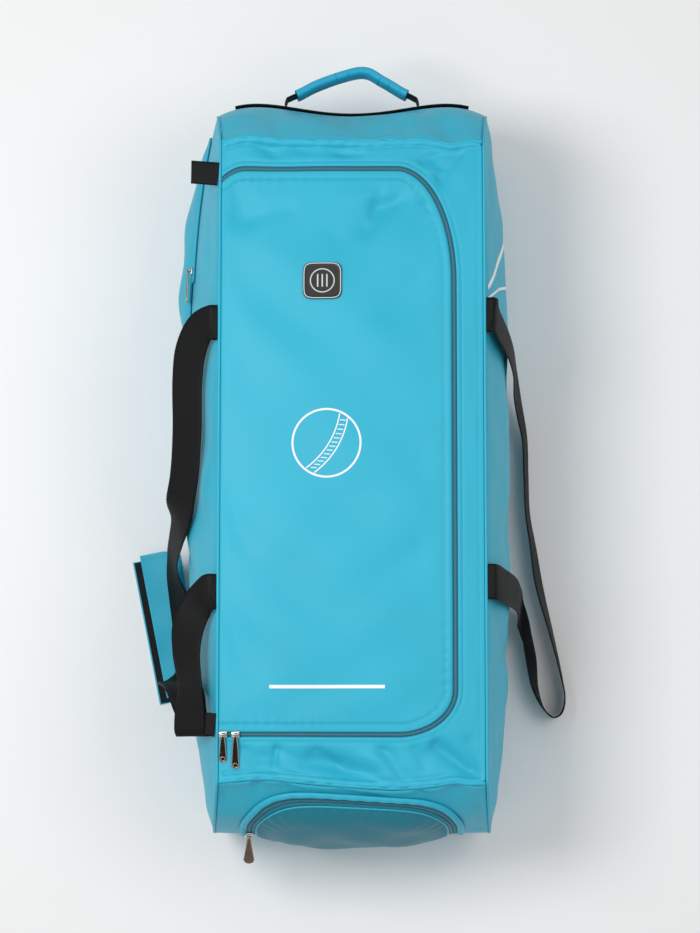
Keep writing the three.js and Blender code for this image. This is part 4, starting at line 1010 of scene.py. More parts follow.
ZIP_CLEAR = 0.0093
side_run = np.linspace(0.258, 0.318 + 0.148 - ZIP_CLEAR, 60)
side_level = np.full(60, SIDE_POCKET["middle"] + SIDE_POCKET["half"][1] + ZIP_CLEAR)
side_line, side_up = stand_off(left_wall, LEFT, side_run, side_level, 0.0)
tape = strip("side_pocket_zip_tape", side_line, side_up, 0.015, 6, 0.004, 0.00195)
belong(thicken(face_out(tape, LEFT), 0.001), zip_tape_painted_shade, "zip_coil", "side_pocket_zip")
belong(coil("side_pocket_coil", side_line, side_up, 0.003), coil_nylon_painted_shade, "zip_coil")


def rolled(s, run):
    return 0.0012 * np.sin(math.pi * np.clip(s, 0, 1)) ** 0.6


for label, shift in (("upper", 1), ("lower", -1)):
    offset = np.cross(np.gradient(side_line, axis=0), side_up)
    offset /= np.linalg.norm(offset, axis=1, keepdims=True)
    line = side_line + offset * shift * 0.0056
    lip = strip("side_zip_" + label + "_lip", line, side_up, 0.005, 6, 0.004, 0.0028, rolled)
    belong(thicken(face_out(lip, LEFT), 0.0008), teal_cloth, "coated_cloth")

# End pocket
# A domed pocket on the pocket end, its cloth painted darker as painted shade for the end that
# faces away from the lights. Its zip arches round the upper edge under a rolled band of the bag's cloth.
END_POCKET = {"middle": 0.188, "half": (0.127, 0.107), "bulge": 0.014, "corner": 3.4, "lean": 0}
DOWN = (0, -1, 0)
# The pocket cloth's darker teal is painted shade: the end faces away from the lights.
pocket_cloth = woven_cloth("pocket_cloth", srgb(27, 122, 142))
dome = skin("end_pocket_cloth", 260, 44, pocket_place(END_POCKET, low_end, DOWN, 0.0016),
            (0.86, 0.13), True)
belong(thicken(face_out(dome, DOWN), CLOTH), pocket_cloth, "pocket_cloth", "end_pocket_panel")
rim, rim_up = pocket_rim(END_POCKET, low_end, DOWN, 1.0, 0.0034)
binding = tube("end_pocket_seam", rim, rim_up, 0.0016, 8, 0.004, ring=True)
belong(binding, teal_cloth, "coated_cloth")
pocket_stitches("end_pocket_stitches", END_POCKET, low_end, DOWN, 0.0016, 0.09)


def arch(clear, lift, low=0.0, high=1.0, count=200):
    """The line of the arched zip, at a distance out from the pocket's edge."""
    reach = (END_POCKET["half"][0] + clear, END_POCKET["half"][1] + clear)
    angle = np.linspace(math.pi * (1 - low), math.pi * (1 - high), count)
    c, d = np.cos(angle), np.sin(angle)
    flat = (np.abs(c) ** 3.4 + np.abs(d) ** 3.4) ** (-1 / 3.4)
    return stand_off(low_end, DOWN, reach[0] * c * flat, END_POCKET["middle"] + reach[1] * d * flat, lift)


arch_line, arch_up = arch(ZIP_CLEAR, 0.0)
tape = strip("end_pocket_zip_tape", arch_line, arch_up, 0.015, 6, 0.004, 0.00195)
belong(thicken(face_out(tape, DOWN), 0.001), zip_tape_painted_shade, "zip_coil", "end_pocket_zip")
belong(coil("end_pocket_coil", arch_line, arch_up, 0.003), coil_nylon_painted_shade, "zip_coil")


def rolled_band(s, run):
    ripple = 1 + 0.12 * np.sin(2 * math.pi * run / 0.021 + 2 * np.sin(run / 0.05))
    return 0.004 * np.sin(math.pi * np.clip(s, 0, 1)) ** 0.7 * ripple


def inner_lip(s, run):
    ripple = 1 + 0.4 * np.sin(2 * math.pi * run / 0.013 + 2 * np.sin(run / 0.04))
    return 0.0014 * np.sin(math.pi * np.clip(s, 0, 1)) ** 0.7 * ripple


outer_line, outer_up = arch(ZIP_CLEAR + 0.0078, 0.0)
roll = strip("end_pocket_band", outer_line, outer_up, 0.0095, 12, 0.003, 0.0022, rolled_band)
belong(thicken(face_out(roll, DOWN), 0.0012), teal_cloth, "coated_cloth")
lip_line, lip_up = arch(ZIP_CLEAR - 0.0054, 0.0)
lip = strip("end_pocket_lip", lip_line, lip_up, 0.0048, 6, 0.003, 0.0026, inner_lip)
belong(thicken(face_out(lip, DOWN), 0.0008), pocket_cloth, "pocket_cloth")

# Carry straps
# Two lengths of flat black webbing, each sewn into a side seam at both ends. They lie slack
# beside the bag: the right one turns on edge on the floor, the left one folds over the shoulder.
STRAP_WIDTH = 0.046
STRAP_THICKNESS = 0.0018
STRAP_ENDS = {1: (0.191, -0.157), -1: (0.181, -0.17)}
STRAP_ROWS = {
    # Along and height in shares of the bag, off the wall in strap widths, and which way the width runs
    1: [
        {"along": 0.37, "height": 0.925, "off": 0.24, "across": (0, 0.97, -0.25)},
        {"along": 0.348, "height": 0.8, "off": 0.2, "across": (0, 0.9, -0.44)},
        {"along": 0.312, "height": 0.585, "off": 0.2, "across": (0, 0.93, -0.36)},
        {"along": 0.27, "height": 0.345, "off": 0.36, "across": (0.1, 0.88, -0.46)},
        {"along": 0.208, "height": 0.158, "off": 0.8, "across": (0.15, 0.62, -0.76)},
        {"along": 0.13, "height": 0.088, "off": 1.1, "across": (0.2, 0.22, -0.95)},
        {"along": 0.03, "height": 0.077, "off": 1.16, "across": (0.2, 0, -1)},
        {"along": -0.085, "height": 0.077, "off": 1.2, "across": (0.2, 0, -1)},
        {"along": -0.19, "height": 0.077, "off": 1.36, "across": (0.25, 0, -1)},
        {"along": -0.296, "height": 0.077, "off": 1.52, "across": (0.3, 0, -1)},
        {"along": -0.434, "height": 0.077, "off": 1.88, "across": (0.2, 0, -1)},
        {"along": -0.56, "height": 0.077, "off": 2.2, "across": (0.12, 0, -1)},
        {"along": -0.63, "height": 0.077, "off": 2.32, "across": (0.08, 0, -1)},
        {"along": -0.672, "height": 0.077, "off": 2.2, "across": (0.05, 0, -1)},
        {"along": -0.682, "height": 0.077, "off": 1.98, "across": (0.05, 0, -1)},
        {"along": -0.66, "height": 0.077, "off": 1.7, "across": (0.1, 0, -1)},
        {"along": -0.6, "height": 0.076, "off": 1.42, "across": (0.25, 0, -1)},
        {"along": -0.51, "height": 0.075, "off": 1.28, "across": (0.4, 0, -1)},
        {"along": -0.436, "height": 0.086, "off": 1.1, "across": (0.35, -0.15, -0.92)},
        {"along": -0.388, "height": 0.18, "off": 0.72, "across": (0.2, 0.5, -0.78)},
        {"along": -0.364, "height": 0.4, "off": 0.36, "across": (0.1, 0.9, -0.42)},
        {"along": -0.346, "height": 0.65, "off": 0.24, "across": (0, 0.97, -0.2)},
        {"along": -0.334, "height": 0.87, "off": 0.24, "across": (0, 0.99, -0.1)},
    ],
    -1: [
        {"along": 0.36, "height": 0.962, "off": 0.42, "across": (-0.5, 0.84, -0.2)},
        {"along": 0.306, "height": 0.925, "off": 0.56, "across": (-0.86, 0.3, -0.4)},
        {"along": 0.228, "height": 0.893, "off": 0.56, "across": (-0.86, 0, -0.5)},
        {"along": 0.1, "height": 0.862, "off": 0.5, "across": (-0.84, 0, -0.54)},
        {"along": -0.02, "height": 0.83, "off": 0.48, "across": (-0.82, 0, -0.57)},
        {"along": -0.1, "height": 0.77, "off": 0.46, "across": (-0.75, 0.05, -0.65)},
        {"along": -0.168, "height": 0.62, "off": 0.36, "across": (-0.35, 0.4, -0.85)},
        {"along": -0.212, "height": 0.4, "off": 0.5, "across": (-0.25, 0.62, -0.74)},
        {"along": -0.256, "height": 0.2, "off": 0.84, "across": (-0.35, 0.42, -0.84)},
        {"along": -0.32, "height": 0.1, "off": 1, "across": (-0.6, 0.1, -0.79)},
        {"along": -0.41, "height": 0.082, "off": 0.92, "across": (-0.64, 0, -0.77)},
        {"along": -0.49, "height": 0.066, "off": 0.78, "across": (-0.84, 0, -0.54)},
        {"along": -0.545, "height": 0.085, "off": 0.62, "across": (-0.98, 0, -0.2)},
        {"along": -0.575, "height": 0.2, "off": 0.56, "across": (-1, 0, -0.1)},
        {"along": -0.585, "height": 0.42, "off": 0.54, "across": (-1, 0, -0.1)},
        {"along": -0.59, "height": 0.64, "off": 0.54, "across": (-1, 0, -0.15)},
        {"along": -0.605, "height": 0.79, "off": 0.53, "across": (-0.98, 0, -0.25)},
        {"along": -0.642, "height": 0.868, "off": 0.5, "across": (-0.92, 0, -0.4)},
        {"along": -0.682, "height": 0.89, "off": 0.46, "across": (-0.88, 0, -0.46)},
        {"along": -0.721, "height": 0.903, "off": 0.44, "across": (-0.88, 0, -0.46)},
        {"along": -0.733, "height": 0.916, "off": 0.51, "across": (-0.88, 0, -0.46)},
        {"along": -0.721, "height": 0.93, "off": 0.59, "across": (-0.88, 0, -0.46)},
        {"along": -0.668, "height": 0.932, "off": 0.6, "across": (-0.84, 0, -0.54)},
        {"along": -0.6, "height": 0.934, "off": 0.6, "across": (-0.7, 0, -0.71)},
        {"along": -0.51, "height": 0.936, "off": 0.68, "across": (-0.8, 0.05, -0.6)},
        {"along": -0.44, "height": 0.945, "off": 0.64, "across": (-0.84, 0.3, -0.36)},
        {"along": -0.385, "height": 0.962, "off": 0.44, "across": (-0.5, 0.84, -0.2)},
    ],
}


def spline(points, samples, even):
    """A smooth line through points, spaced by their square-root distance, or evenly."""
    points = np.asarray(points, float)
    points = np.vstack([2 * points[0] - points[1], points, 2 * points[-1] - points[-2]])
    last = len(points) - 3
    out = []
    for t in np.linspace(0, last, samples + 1):
        k = min(int(t), last - 1)
        t -= k
        p0, p1, p2, p3 = points[k:k + 4]
        d0, d1, d2 = (1.0 if even else np.linalg.norm(b - a) ** 0.5
                      for a, b in ((p0, p1), (p1, p2), (p2, p3)))
        leave = ((p1 - p0) / d0 - (p2 - p0) / (d0 + d1) + (p2 - p1) / d1) * d1
        reach = ((p2 - p1) / d1 - (p3 - p1) / (d1 + d2) + (p3 - p2) / d2) * d1
        eased = t * t * (3 - 2 * t)
        out.append(p1 + (p2 - p1) * eased + leave * (t**3 - 2 * t * t + t) + reach * (t**3 - t * t))
    return np.array(out)


def webbing_material():
    web = Graph("webbing", Base_Color=(*srgb(9, 10, 12), 1), Specular_IOR_Level=0.2)
    s, t = web.cloth_place()
    weave = (s * 3900.0).wave() * (t * 2900.0).wave()
    grain = web.noise(420.0)
    web.give("Roughness", web.noise(14.0) * 0.2 + 0.5)
    web.bump(weave * 0.6 + grain * 0.4, 0.0002, 0.6)
    return web.material


webbing = webbing_material()
RIB_PITCH = 0.0021


def web(name, centre, across, width, thickness, step=0.0007, columns=10):
    """Webbing along a line, ribbed across, the ribs flattening out at its edges."""
    count = int(line_length(centre) / step)
    gone = np.concatenate([[0], np.cumsum(np.linalg.norm(np.diff(centre, axis=0), axis=1))])
    wanted = np.linspace(0, gone[-1], count + 1)
    middle = np.stack([np.interp(wanted, gone, centre[:, k]) for k in range(3)], axis=1)
    w = np.stack([np.interp(wanted, gone, across[:, k]) for k in range(3)], axis=1)
    ahead = np.gradient(middle, axis=0)
    ahead /= np.linalg.norm(ahead, axis=1, keepdims=True)
    w -= ahead * np.sum(w * ahead, axis=1, keepdims=True)
    w /= np.linalg.norm(w, axis=1, keepdims=True)
    n = np.cross(ahead, w)

    def place(s, t):
        k = np.rint(t * count).astype(int)
        rib = 0.00014 * np.sin(2 * math.pi * wanted[k] / RIB_PITCH)
        rib = rib * smooth(0.5 - np.abs(s - 0.5), 0.0, 0.06)
        return middle[k] + w[k] * ((s - 0.5) * width)[:, None] + n[k] * rib[:, None]

    return thicken(skin(name, columns, count, place, (width, gone[-1])), thickness)


def strap_line(side):
    upper, lower = STRAP_ENDS[side]
    seam = DECK_WIDTH / 2 + WELT + 2 * SEAT
    ends = [[(side * (seam + past), y, SEAM_HEIGHT + lift), (0, 1, 0)]
            for y in (upper, lower) for past, lift in ((0, 0), (0.004, 0.0003), (0.009, 0))]
    rows = ends[:3]
    for row in STRAP_ROWS[side]:
        y, z = row["along"] * REACH[-1], row["height"] * SEAM_HEIGHT
        wall_x = abs(side_surface(side, np.array(row["along"]), share_at(z))[0])
        rows.append([(side * (wall_x + row["off"] * STRAP_WIDTH), y, z), row["across"]])
    rows += ends[3:][::-1]
    centre = spline([row[0] for row in rows], 260, False)
    return centre, spline([row[1] for row in rows], 260, True)


for side, label in ((1, "right"), (-1, "left")):
    centre, across = strap_line(side)
    strap = web(label + "_carry_strap", centre, across, STRAP_WIDTH, STRAP_THICKNESS)
    belong(strap, webbing, "webbing", "strap_" + label)

# Grip wrap
# One padded cloth sewn to a hook-and-loop fastener, folded back on itself on the floor under
# the left strap that it wraps when the bag is carried.
WRAP = {"length": 0.205, "back": 0.068, "front": 0.056, "cloth": 0.0022, "start": -0.098}
FASTENER = {"width": 0.034, "thickness": 0.0012}
wrap_along = np.array([0.2, -1.0, 0.0]) / math.hypot(0.2, 1)
wrap_out = np.array([-1.0, -0.2, 0.0]) / math.hypot(0.2, 1)
wrap_corner = np.array([-BASE_WIDTH / 2 - 0.059, WRAP["start"], 0.0])
wrap_gap = (FASTENER["thickness"] + 2 * SEAT + WRAP["cloth"]) / 2


def wrap_point(a, h, run):
    return wrap_corner + np.outer(run, wrap_along) + np.outer(a, wrap_out) + np.outer(h, (0, 0, 1))


def wrap_section(s):
    """Across the folded cloth: along the back leaf, round the fold and out over the front."""
    low = WRAP["cloth"] / 2
    turn = WRAP["cloth"] / 2 + wrap_gap
    flats = (WRAP["back"] - turn, math.pi * wrap_gap, WRAP["front"] - turn)
    run = s * sum(flats)
    angle = np.clip((run - flats[0]) / flats[1], 0, 1) * math.pi
    past = np.maximum(run - flats[0] - flats[1], 0)
    a = turn + np.maximum(flats[0] - run, 0) + past - wrap_gap * np.sin(angle)
    return a, low + wrap_gap * (1 - np.cos(angle)), smooth(past, 0, 0.02), past / flats[2]


def wrap_place(s, t):
    a, h, front, past = wrap_section(s)
    run = t * WRAP["length"] - 0.007 * front
    wave = 0.0012 * front * (1 + slack(a, run, 0.03)) + 0.0025 * past**3
    edge = np.minimum(t, 1 - t) * WRAP["length"]
    hem = -0.0003 * np.exp(-((edge - 0.006) / 0.001) ** 2)
    return wrap_point(a, h + wave + hem, run)


wrap = skin("grip_wrap_cloth", 70, 90, wrap_place, (0.13, 0.205))
belong(thicken(wrap, WRAP["cloth"], 0.0004), teal_cloth, "coated_cloth", "grip_wrap")
hem_run = np.linspace(0.6, 0.985, 60)
for label, t in (("top", 0.033), ("foot", 0.967)):
    hem_line = wrap_place(hem_run, np.full(60, t)) + np.array((0, 0, WRAP["cloth"] / 2))
    frames = frames_along(hem_line, np.tile((0.0, 0.0, 1.0), (60, 1)), STITCH_PITCH, 0.0001)
    belong(repeat("wrap_" + label + "_stitches", STITCH, frames), teal_thread, "coated_cloth")


def patch_place(s, t):
    middle = WRAP["back"] - WRAP["cloth"] - FASTENER["width"] / 2
    a = middle + (s - 0.5) * FASTENER["width"]
    h = np.full(s.shape, WRAP["cloth"] + SEAT + FASTENER["thickness"] / 2)
    return wrap_point(a, h, lerp(0.0012, WRAP["length"] - 0.0012, t))


def loops_material():
    pile = Graph("hook_and_loop", Base_Color=(*srgb(14, 15, 18), 1), Roughness=0.95)
    pile.bump(pile.noise(900.0, 2.0), 0.0005, 1.0)
    return pile.material


patch = skin("wrap_fastener", 30, 160, patch_place, (0.034, 0.2))
patch = thicken(face_out(patch, (0, 0, 1)), FASTENER["thickness"], 0.0002)
belong(patch, loops_material(), "hook_and_loop", "grip_wrap_fastener")

# Seam tabs
# Two short loops of webbing folded double into the left deck seam, one at each end of the lid.
TAB_WIDTH = 0.03
TAB_WEB = 0.0016
for label, along, reach in (("upper", LID["top"] - 0.006, 0.036), ("lower", LID["bottom"] + 0.012, 0.013)):
    start = DECK_WIDTH / 2 + WELT + SEAT
    bend = (TAB_WEB + 0.001) / 2
    turn = np.linspace(-math.pi / 2, math.pi / 2, 12)
    out = reach - TAB_WEB / 2 - bend
    away = np.linspace(0, out, 12)[:-1]
    a = np.concatenate([away, out + bend * np.cos(turn), away[::-1]])
    h = np.concatenate([np.full(11, TAB_WEB / 2), TAB_WEB / 2 + bend + bend * np.sin(turn),
                        np.full(11, TAB_WEB / 2 + 2 * bend)])
    line = stack(-start - a, along + a * 0.1, SEAM_HEIGHT - TAB_WEB - 0.0005 + h - a * 0.1)
    across = np.tile((0.0, 1.0, 0.0), (len(line), 1))
    tab = web(label + "_seam_tab", line, across, TAB_WIDTH, TAB_WEB)
    belong(tab, webbing, "webbing", "tab_" + label)

# Haul handle
# Webbing sewn to an anchor strip across the handle end, standing out in a bow through a padded
# cloth grip.
HANDLE = {"height": 0.19, "anchor": 0.318, "web": 0.025, "thick": 0.002, "span": 0.182,
          "grip": 0.16, "foot": 0.013, "rise": 0.034, "depth": 0.013, "tall": 0.033}
GRIP_LINE = [(-0.5, 0), (-0.44, 0.12), (-0.3, 0.46), (-0.08, 0.84), (0.12, 1), (0.27, 0.62),
             (0.44, 0.14), (0.5, 0.02)]
strip_x = np.linspace(-HANDLE["anchor"] / 2, HANDLE["anchor"] / 2, 60)
anchor_line, _ = stand_off(high_end, (0, 1, 0), strip_x, np.full(60, HANDLE["height"]), 0.0026)
anchor_across = np.tile((0.0, 0.0, 1.0), (60, 1))
anchor = web("handle_anchor_web", anchor_line, anchor_across, HANDLE["web"], HANDLE["thick"])
belong(anchor, webbing, "webbing", "handle_anchor_strip")
for label, shift in (("upper", 1), ("lower", -1)):
    level = np.full(60, HANDLE["height"] + shift * (HANDLE["web"] / 2 - 0.003))
    row, row_up = stand_off(high_end, (0, 1, 0), strip_x * 0.98, level, 0.0026 + HANDLE["thick"] / 2)
    frames = frames_along(row, row_up, STITCH_PITCH, 0.0002)
    belong(repeat("anchor_" + label + "_stitches", STITCH, frames), black_thread, "webbing")

low_foot = share_at(HANDLE["height"] - HANDLE["web"] / 2)
foot_y = end_surface(1, HANDLE["span"] / 2 / corner_half(low_foot), low_foot)[1]
foot_y = foot_y + CLOTH / 2 + 2 * SEAT + HANDLE["thick"] + 0.0006
grip_rows = [(a * HANDLE["grip"], foot_y + HANDLE["foot"] + HANDLE["rise"] * rise, HANDLE["height"])
             for a, rise in GRIP_LINE]
grip_line = spline(grip_rows, 120, False)


def foot_rows(side):
    half = HANDLE["span"] / 2
    steps = ((0, 0), (0.0005, 0.3), (0.0025, 0.7))
    return [(side * (half - inward), foot_y + HANDLE["foot"] * up, HANDLE["height"])
            for inward, up in steps]


handle_line = np.vstack([foot_rows(-1), grip_line, foot_rows(1)[::-1]])
handle_across = np.tile((0.0, 0.0, 1.0), (len(handle_line), 1))
handle = web("handle_web", handle_line, handle_across, HANDLE["web"], HANDLE["thick"])
belong(handle, webbing, "webbing", "handle_strap")

grip_cloth = woven_cloth("grip_cloth", srgb(38, 164, 198))
sleeve = grip_line[8:-8]
sleeve_up = np.tile((0.0, 0.0, 1.0), (len(sleeve), 1))


def grip_place(s, t):
    count = 110
    places, ahead, up, length = walk(sleeve, sleeve_up, count)
    aside = np.cross(ahead, up)
    k = np.clip(np.rint((t * 1.08 - 0.04) * count), 0, count).astype(int)
    over = np.maximum(0.04 - t * 1.08, 0) + np.maximum(t * 1.08 - 1.04, 0)
    shrink = 1 - 0.3 * smooth(over, 0, 0.04)
    angle = s * 2 * math.pi
    c, d = np.cos(angle), np.sin(angle)
    flat = (np.abs(c) ** 2.6 + np.abs(d) ** 3.2) ** (-1 / 2.9)
    crumple = 1 + 0.05 * slack(t * length, s * 0.09, 0.018)
    seam = 1 - 0.07 * np.exp(-(((s - 0.03) % 1) / 0.018) ** 2)
    depth = HANDLE["depth"] / 2 * c * flat * shrink * crumple * seam
    tall = HANDLE["tall"] / 2 * d * flat * shrink
    sign = np.where(t < 0.5, 1, -1)[:, None]
    inward = ahead[k] * sign * (0.004 * smooth(over, 0, 0.04))[:, None]
    return places[k] + aside[k] * depth[:, None] + up[k] * tall[:, None] + inward


grip = skin("handle_grip_sleeve", 48, 130, grip_place, (0.08, 0.17), True)
belong(close_ends(grip, False), grip_cloth, "grip_cloth", "handle_grip")

# Badge
# A moulded black rubber badge stitched to the lid, with a raised silver rim and a plain sign of
# three stumps in a ring.
BADGE = {"across": -0.0385, "along": 0.234, "half": (0.02525, 0.0245), "thick": 0.0022, "corner": 5.5}
rubber = Graph("badge_rubber", Base_Color=(*srgb(16, 17, 20), 1), Roughness=0.48)
rubber.bump(rubber.noise(1500.0, 2.0), 0.00006, 0.5)
silver_print = Graph("badge_silver", Base_Color=(*srgb(206, 208, 210), 1), Roughness=0.4)
badge_base, badge_up = deck_lift([BADGE["across"]], [BADGE["along"]], CLOTH / 2 + 0.0003)
up = Vector(badge_up[0])
right = (Vector((1, 0, 0)) - up * up.x).normalized()
badge_frame = Matrix((right, up.cross(right), up)).transposed().to_4x4()
badge_frame.translation = Vector(badge_base[0])


def on_badge(points):
    return np.array([badge_frame @ Vector(point) for point in points])


def badge_edge(s, r):
    angle = s * 2 * math.pi
    c, d = np.cos(angle), np.sin(angle)
    power = BADGE["corner"]
    flat = (np.abs(c) ** power + np.abs(d) ** power) ** (-1 / power)
    return BADGE["half"][0] * c * flat * r, BADGE["half"][1] * d * flat * r


def badge_place(s, t):
    r = np.interp(t, (0, 0.15, 0.25, 0.35, 0.45, 0.5, 1), (1, 1, 0.985, 0.95, 0.9, 0.87, 0))
    h = np.interp(t, (0, 0.15, 0.25, 0.35, 0.45, 0.5), (0, 0.75, 0.95, 1, 0.95, 0.78))
    x, y = badge_edge(s, r)
    return on_badge(stack(x, y, h * BADGE["thick"]))


badge = skin("badge_body", 96, 40, badge_place, (0.1, 0.03), True)
belong(close_ends(badge), rubber.material, "badge_rubber", "badge")
s = np.linspace(0, 1, 96, endpoint=False)
x, y = badge_edge(s, 0.945)
rim_line = on_badge(stack(x, y, BADGE["thick"]))
badge_rim = tube("badge_rim", rim_line, np.tile(tuple(up), (96, 1)), 0.0007, 6, 0.002, ring=True)
belong(badge_rim, silver_print.material, "badge_rubber")
angle = np.linspace(0, 2 * math.pi, 60, endpoint=False)
ring_line = on_badge(stack(0.0155 * np.cos(angle), 0.0155 * np.sin(angle), BADGE["thick"] * 0.8))
ring = tube("badge_ring", ring_line, np.tile(tuple(up), (60, 1)), 0.0009, 6, 0.0015, ring=True)
belong(ring, silver_print.material, "badge_rubber")
for k, offset in enumerate((-0.006, 0, 0.006)):
    ends = on_badge([(offset, -0.0085, BADGE["thick"] * 0.8), (offset, 0.0085, BADGE["thick"] * 0.8)])
    stump = tube("badge_stump_%d" % (k + 1), ends, np.tile(tuple(up), (2, 1)), 0.0011, 8, 0.002)
    belong(stump, silver_print.material, "badge_rubber")

# Sliders and pulls
# Four plated zip sliders. Each has a wedge-shaped body over the coil, and a bail that the eye
# of a flat pull turns on.
SLIDER = {"length": 0.011, "width": 0.01, "thick": 0.0032, "bail": 0.001, "rise": 0.0032}
PULL = {"thick": 0.0016, "eye": 0.005, "clear": 0.00035, "wall": 0.0011}


def metal(name, colour, roughness, wear):
    plated = Graph(name, Metallic=1.0, Roughness=roughness)
    rubbed = plated.noise(220.0)
    plated.give("Base Color", plated.mix(rubbed, tuple(c * wear for c in colour), colour))
    plated.give("Roughness", rubbed * 0.25 + (roughness - 0.1))
    return plated.material


bright_metal = metal("slider_metal", srgb(206, 204, 198), 0.3, 0.75)
dark_metal = metal("pull_dark_metal", srgb(74, 66, 58), 0.36, 0.6)
rim_metal = metal("pull_rim_metal", srgb(196, 190, 180), 0.28, 0.7)
brass = metal("antique_metal", srgb(176, 156, 136), 0.34, 0.62)


def set_in(piece, matrix):
    piece.data.transform(matrix)
    return piece


def slider(name, node, base, material):
    """A slider on its coil; gives back the middle of its bail."""
    half = (SLIDER["length"] / 2, SLIDER["width"] / 2)

    def build(mesh):
        bmesh.ops.create_cube(mesh, size=1)
        bmesh.ops.scale(mesh, verts=mesh.verts, vec=(2 * half[0], 2 * half[1], SLIDER["thick"]))
        bmesh.ops.translate(mesh, verts=mesh.verts, vec=(0, 0, SLIDER["thick"] / 2))
        for vert in mesh.verts:
            vert.co.y *= 1.0 if vert.co.x > 0 else 0.72
            vert.co.z *= 1.0 if vert.co.x > 0 else 0.9
        bmesh.ops.bevel(mesh, geom=list(mesh.edges), offset=0.0011, segments=3, profile=0.5,
                        affect="EDGES", material=-1)

    body = bpy.data.objects.new(name, small_shape(name, build))
    bpy.context.collection.objects.link(body)
    belong(set_in(body, base), material, "slider_metal", node)
    top = SLIDER["thick"] + SLIDER["rise"]
    foot = half[0] - 0.0012
    arch_rows = [(-foot, 0, 0.0024), (-foot - 0.0001, 0, top - 0.0012), (-foot + 0.0012, 0, top),
                 (foot - 0.0012, 0, top), (foot + 0.0001, 0, top - 0.0012), (foot, 0, 0.0024)]
    rows = np.array([base @ Vector(row) for row in spline(arch_rows, 40, False)])
    side_way = np.tile(tuple(base.to_3x3() @ Vector((0, 1, 0))), (len(rows), 1))
    bail = tube(name + "_bail", rows, side_way, SLIDER["bail"], 10, 0.0006)
    belong(bail, material, "slider_metal")
    return base @ Vector((0, 0, top))


def pull_outline(length, neck, foot, grow=0.0, count=26):
    """Half widths down a pull: the eye, the neck and the round foot."""
    start = SLIDER["bail"] + PULL["clear"] + 0.0012
    centre = length - foot / 2
    y = np.linspace(start, centre, count)
    wide = np.interp(y, (start, start + length * 0.25, centre), (PULL["eye"] / 2 - 0.0009, neck / 2, foot / 2))
    angle = np.linspace(0, math.pi, 24)
    right = np.stack([wide + grow, -y], axis=1)
    left = np.stack([-wide[::-1] - grow, -y[::-1]], axis=1)
    round_off = foot / 2 + grow
    turn = np.stack([round_off * np.cos(angle), -centre - round_off * np.sin(angle)], axis=1)
    return np.vstack([right, turn[1:-1], left])


def plate(name, outline, hole, thick, edge):
    """A flat plate with a rounded edge, cut from an outline with one round hole."""
    curve = bpy.data.curves.new(name, "CURVE")
    curve.dimensions = "2D"
    curve.fill_mode = "BOTH"
    for line in (outline, hole):
        spline_part = curve.splines.new("POLY")
        spline_part.points.add(len(line) - 1)
        for point, (px, py) in zip(spline_part.points, line):
            point.co = (px, py, 0, 1)
        spline_part.use_cyclic_u = True
    curve.extrude = thick / 2 - edge
    curve.bevel_depth = edge
    curve.bevel_resolution = 2
    curve.offset = -edge
    drawn = bpy.data.objects.new(name + "_outline", curve)
    bpy.context.collection.objects.link(drawn)
    graph = bpy.context.evaluated_depsgraph_get()
    data = bpy.data.meshes.new_from_object(drawn.evaluated_get(graph))
    bpy.data.objects.remove(drawn)
    piece = bpy.data.objects.new(name, data)
    bpy.context.collection.objects.link(piece)
    return piece


def circle(x, y, radius, count=24):
    angle = np.linspace(0, 2 * math.pi, count, endpoint=False)
    return np.stack([x + radius * np.cos(angle), y + radius * np.sin(angle)], axis=1)


def pull(name, body, length, neck, foot, rim, matrix, materials, slot):
    """A pull that hangs down -Y of its matrix from an eye round the bail."""
    centre = -length + foot / 2
    outline = pull_outline(length, neck, foot)
    flat = plate(name + "_plate", outline, circle(0, centre, foot / 2 - rim), PULL["thick"], 0.0003)
    for polygon in flat.data.polygons:
        polygon.use_smooth = False
    belong(close_ends(set_in(flat, matrix)), materials[0], slot, body, body=body)
    for label, line in (("rim", outline), ("eyelet", circle(0, centre, foot / 2 - rim + 0.0003))):
        rows = np.array([matrix @ Vector((px, py, 0)) for px, py in line])
        way = np.tile(tuple(matrix.to_3x3() @ Vector((0, 0, 1))), (len(rows), 1))
        bead = tube(name + "_" + label, rows, way, 0.00075, 8, 0.0006, ring=True, flat=1.35)
        belong(bead, materials[1], slot, body=body)
    inner = SLIDER["bail"] + PULL["clear"] + PULL["wall"] / 2
    angle = np.linspace(0, 2 * math.pi, 28, endpoint=False)
    loop = [matrix @ Vector((0, inner * math.cos(a), inner * math.sin(a))) for a in angle]
    way = np.tile(tuple(matrix.to_3x3() @ Vector((1, 0, 0))), (28, 1))
    eye = tube(name + "_eye", np.array(loop), way, PULL["wall"] / 2, 10, 0.0005, ring=True,
               flat=(PULL["eye"] - 0.0008) / PULL["wall"])
    belong(eye, materials[1], slot, body=body)


def frame_of(x, y, z, origin):
    matrix = Matrix((x, y, z)).transposed().to_4x4()
    matrix.translation = origin
    return matrix


plain_metals = (dark_metal, rim_metal)
LID_PULLS = [
    {"label": "a", "across": -0.165358, "along": -0.353047, "up": 0.336368, "length": 0.036},
    {"label": "b", "across": -0.149315, "along": -0.353133, "up": 0.337255, "length": 0.044},
]
for row in LID_PULLS:
    label, across, length = row["label"], row["across"], row["length"]
    seat_height = row["up"] - SLIDER["thick"] - SLIDER["rise"]
    base = Matrix.Translation((across, row["along"], seat_height))
    pivot = slider("lid_slider_body_" + label, "lid_slider_" + label, base, bright_metal)
    tip = deck_points([across], [row["along"] - length])[0][2] + CLOTH / 2 + SEAT + PULL["thick"] / 2
    lean = Matrix.Rotation(math.asin((pivot.z - tip) / length), 4, "X")
    matrix = Matrix.Translation(pivot) @ lean
    pull("lid_pull_metal_" + label, "lid_pull_" + label, length, 0.006, 0.009, 0.002, matrix,
         plain_metals, "pull_metal")


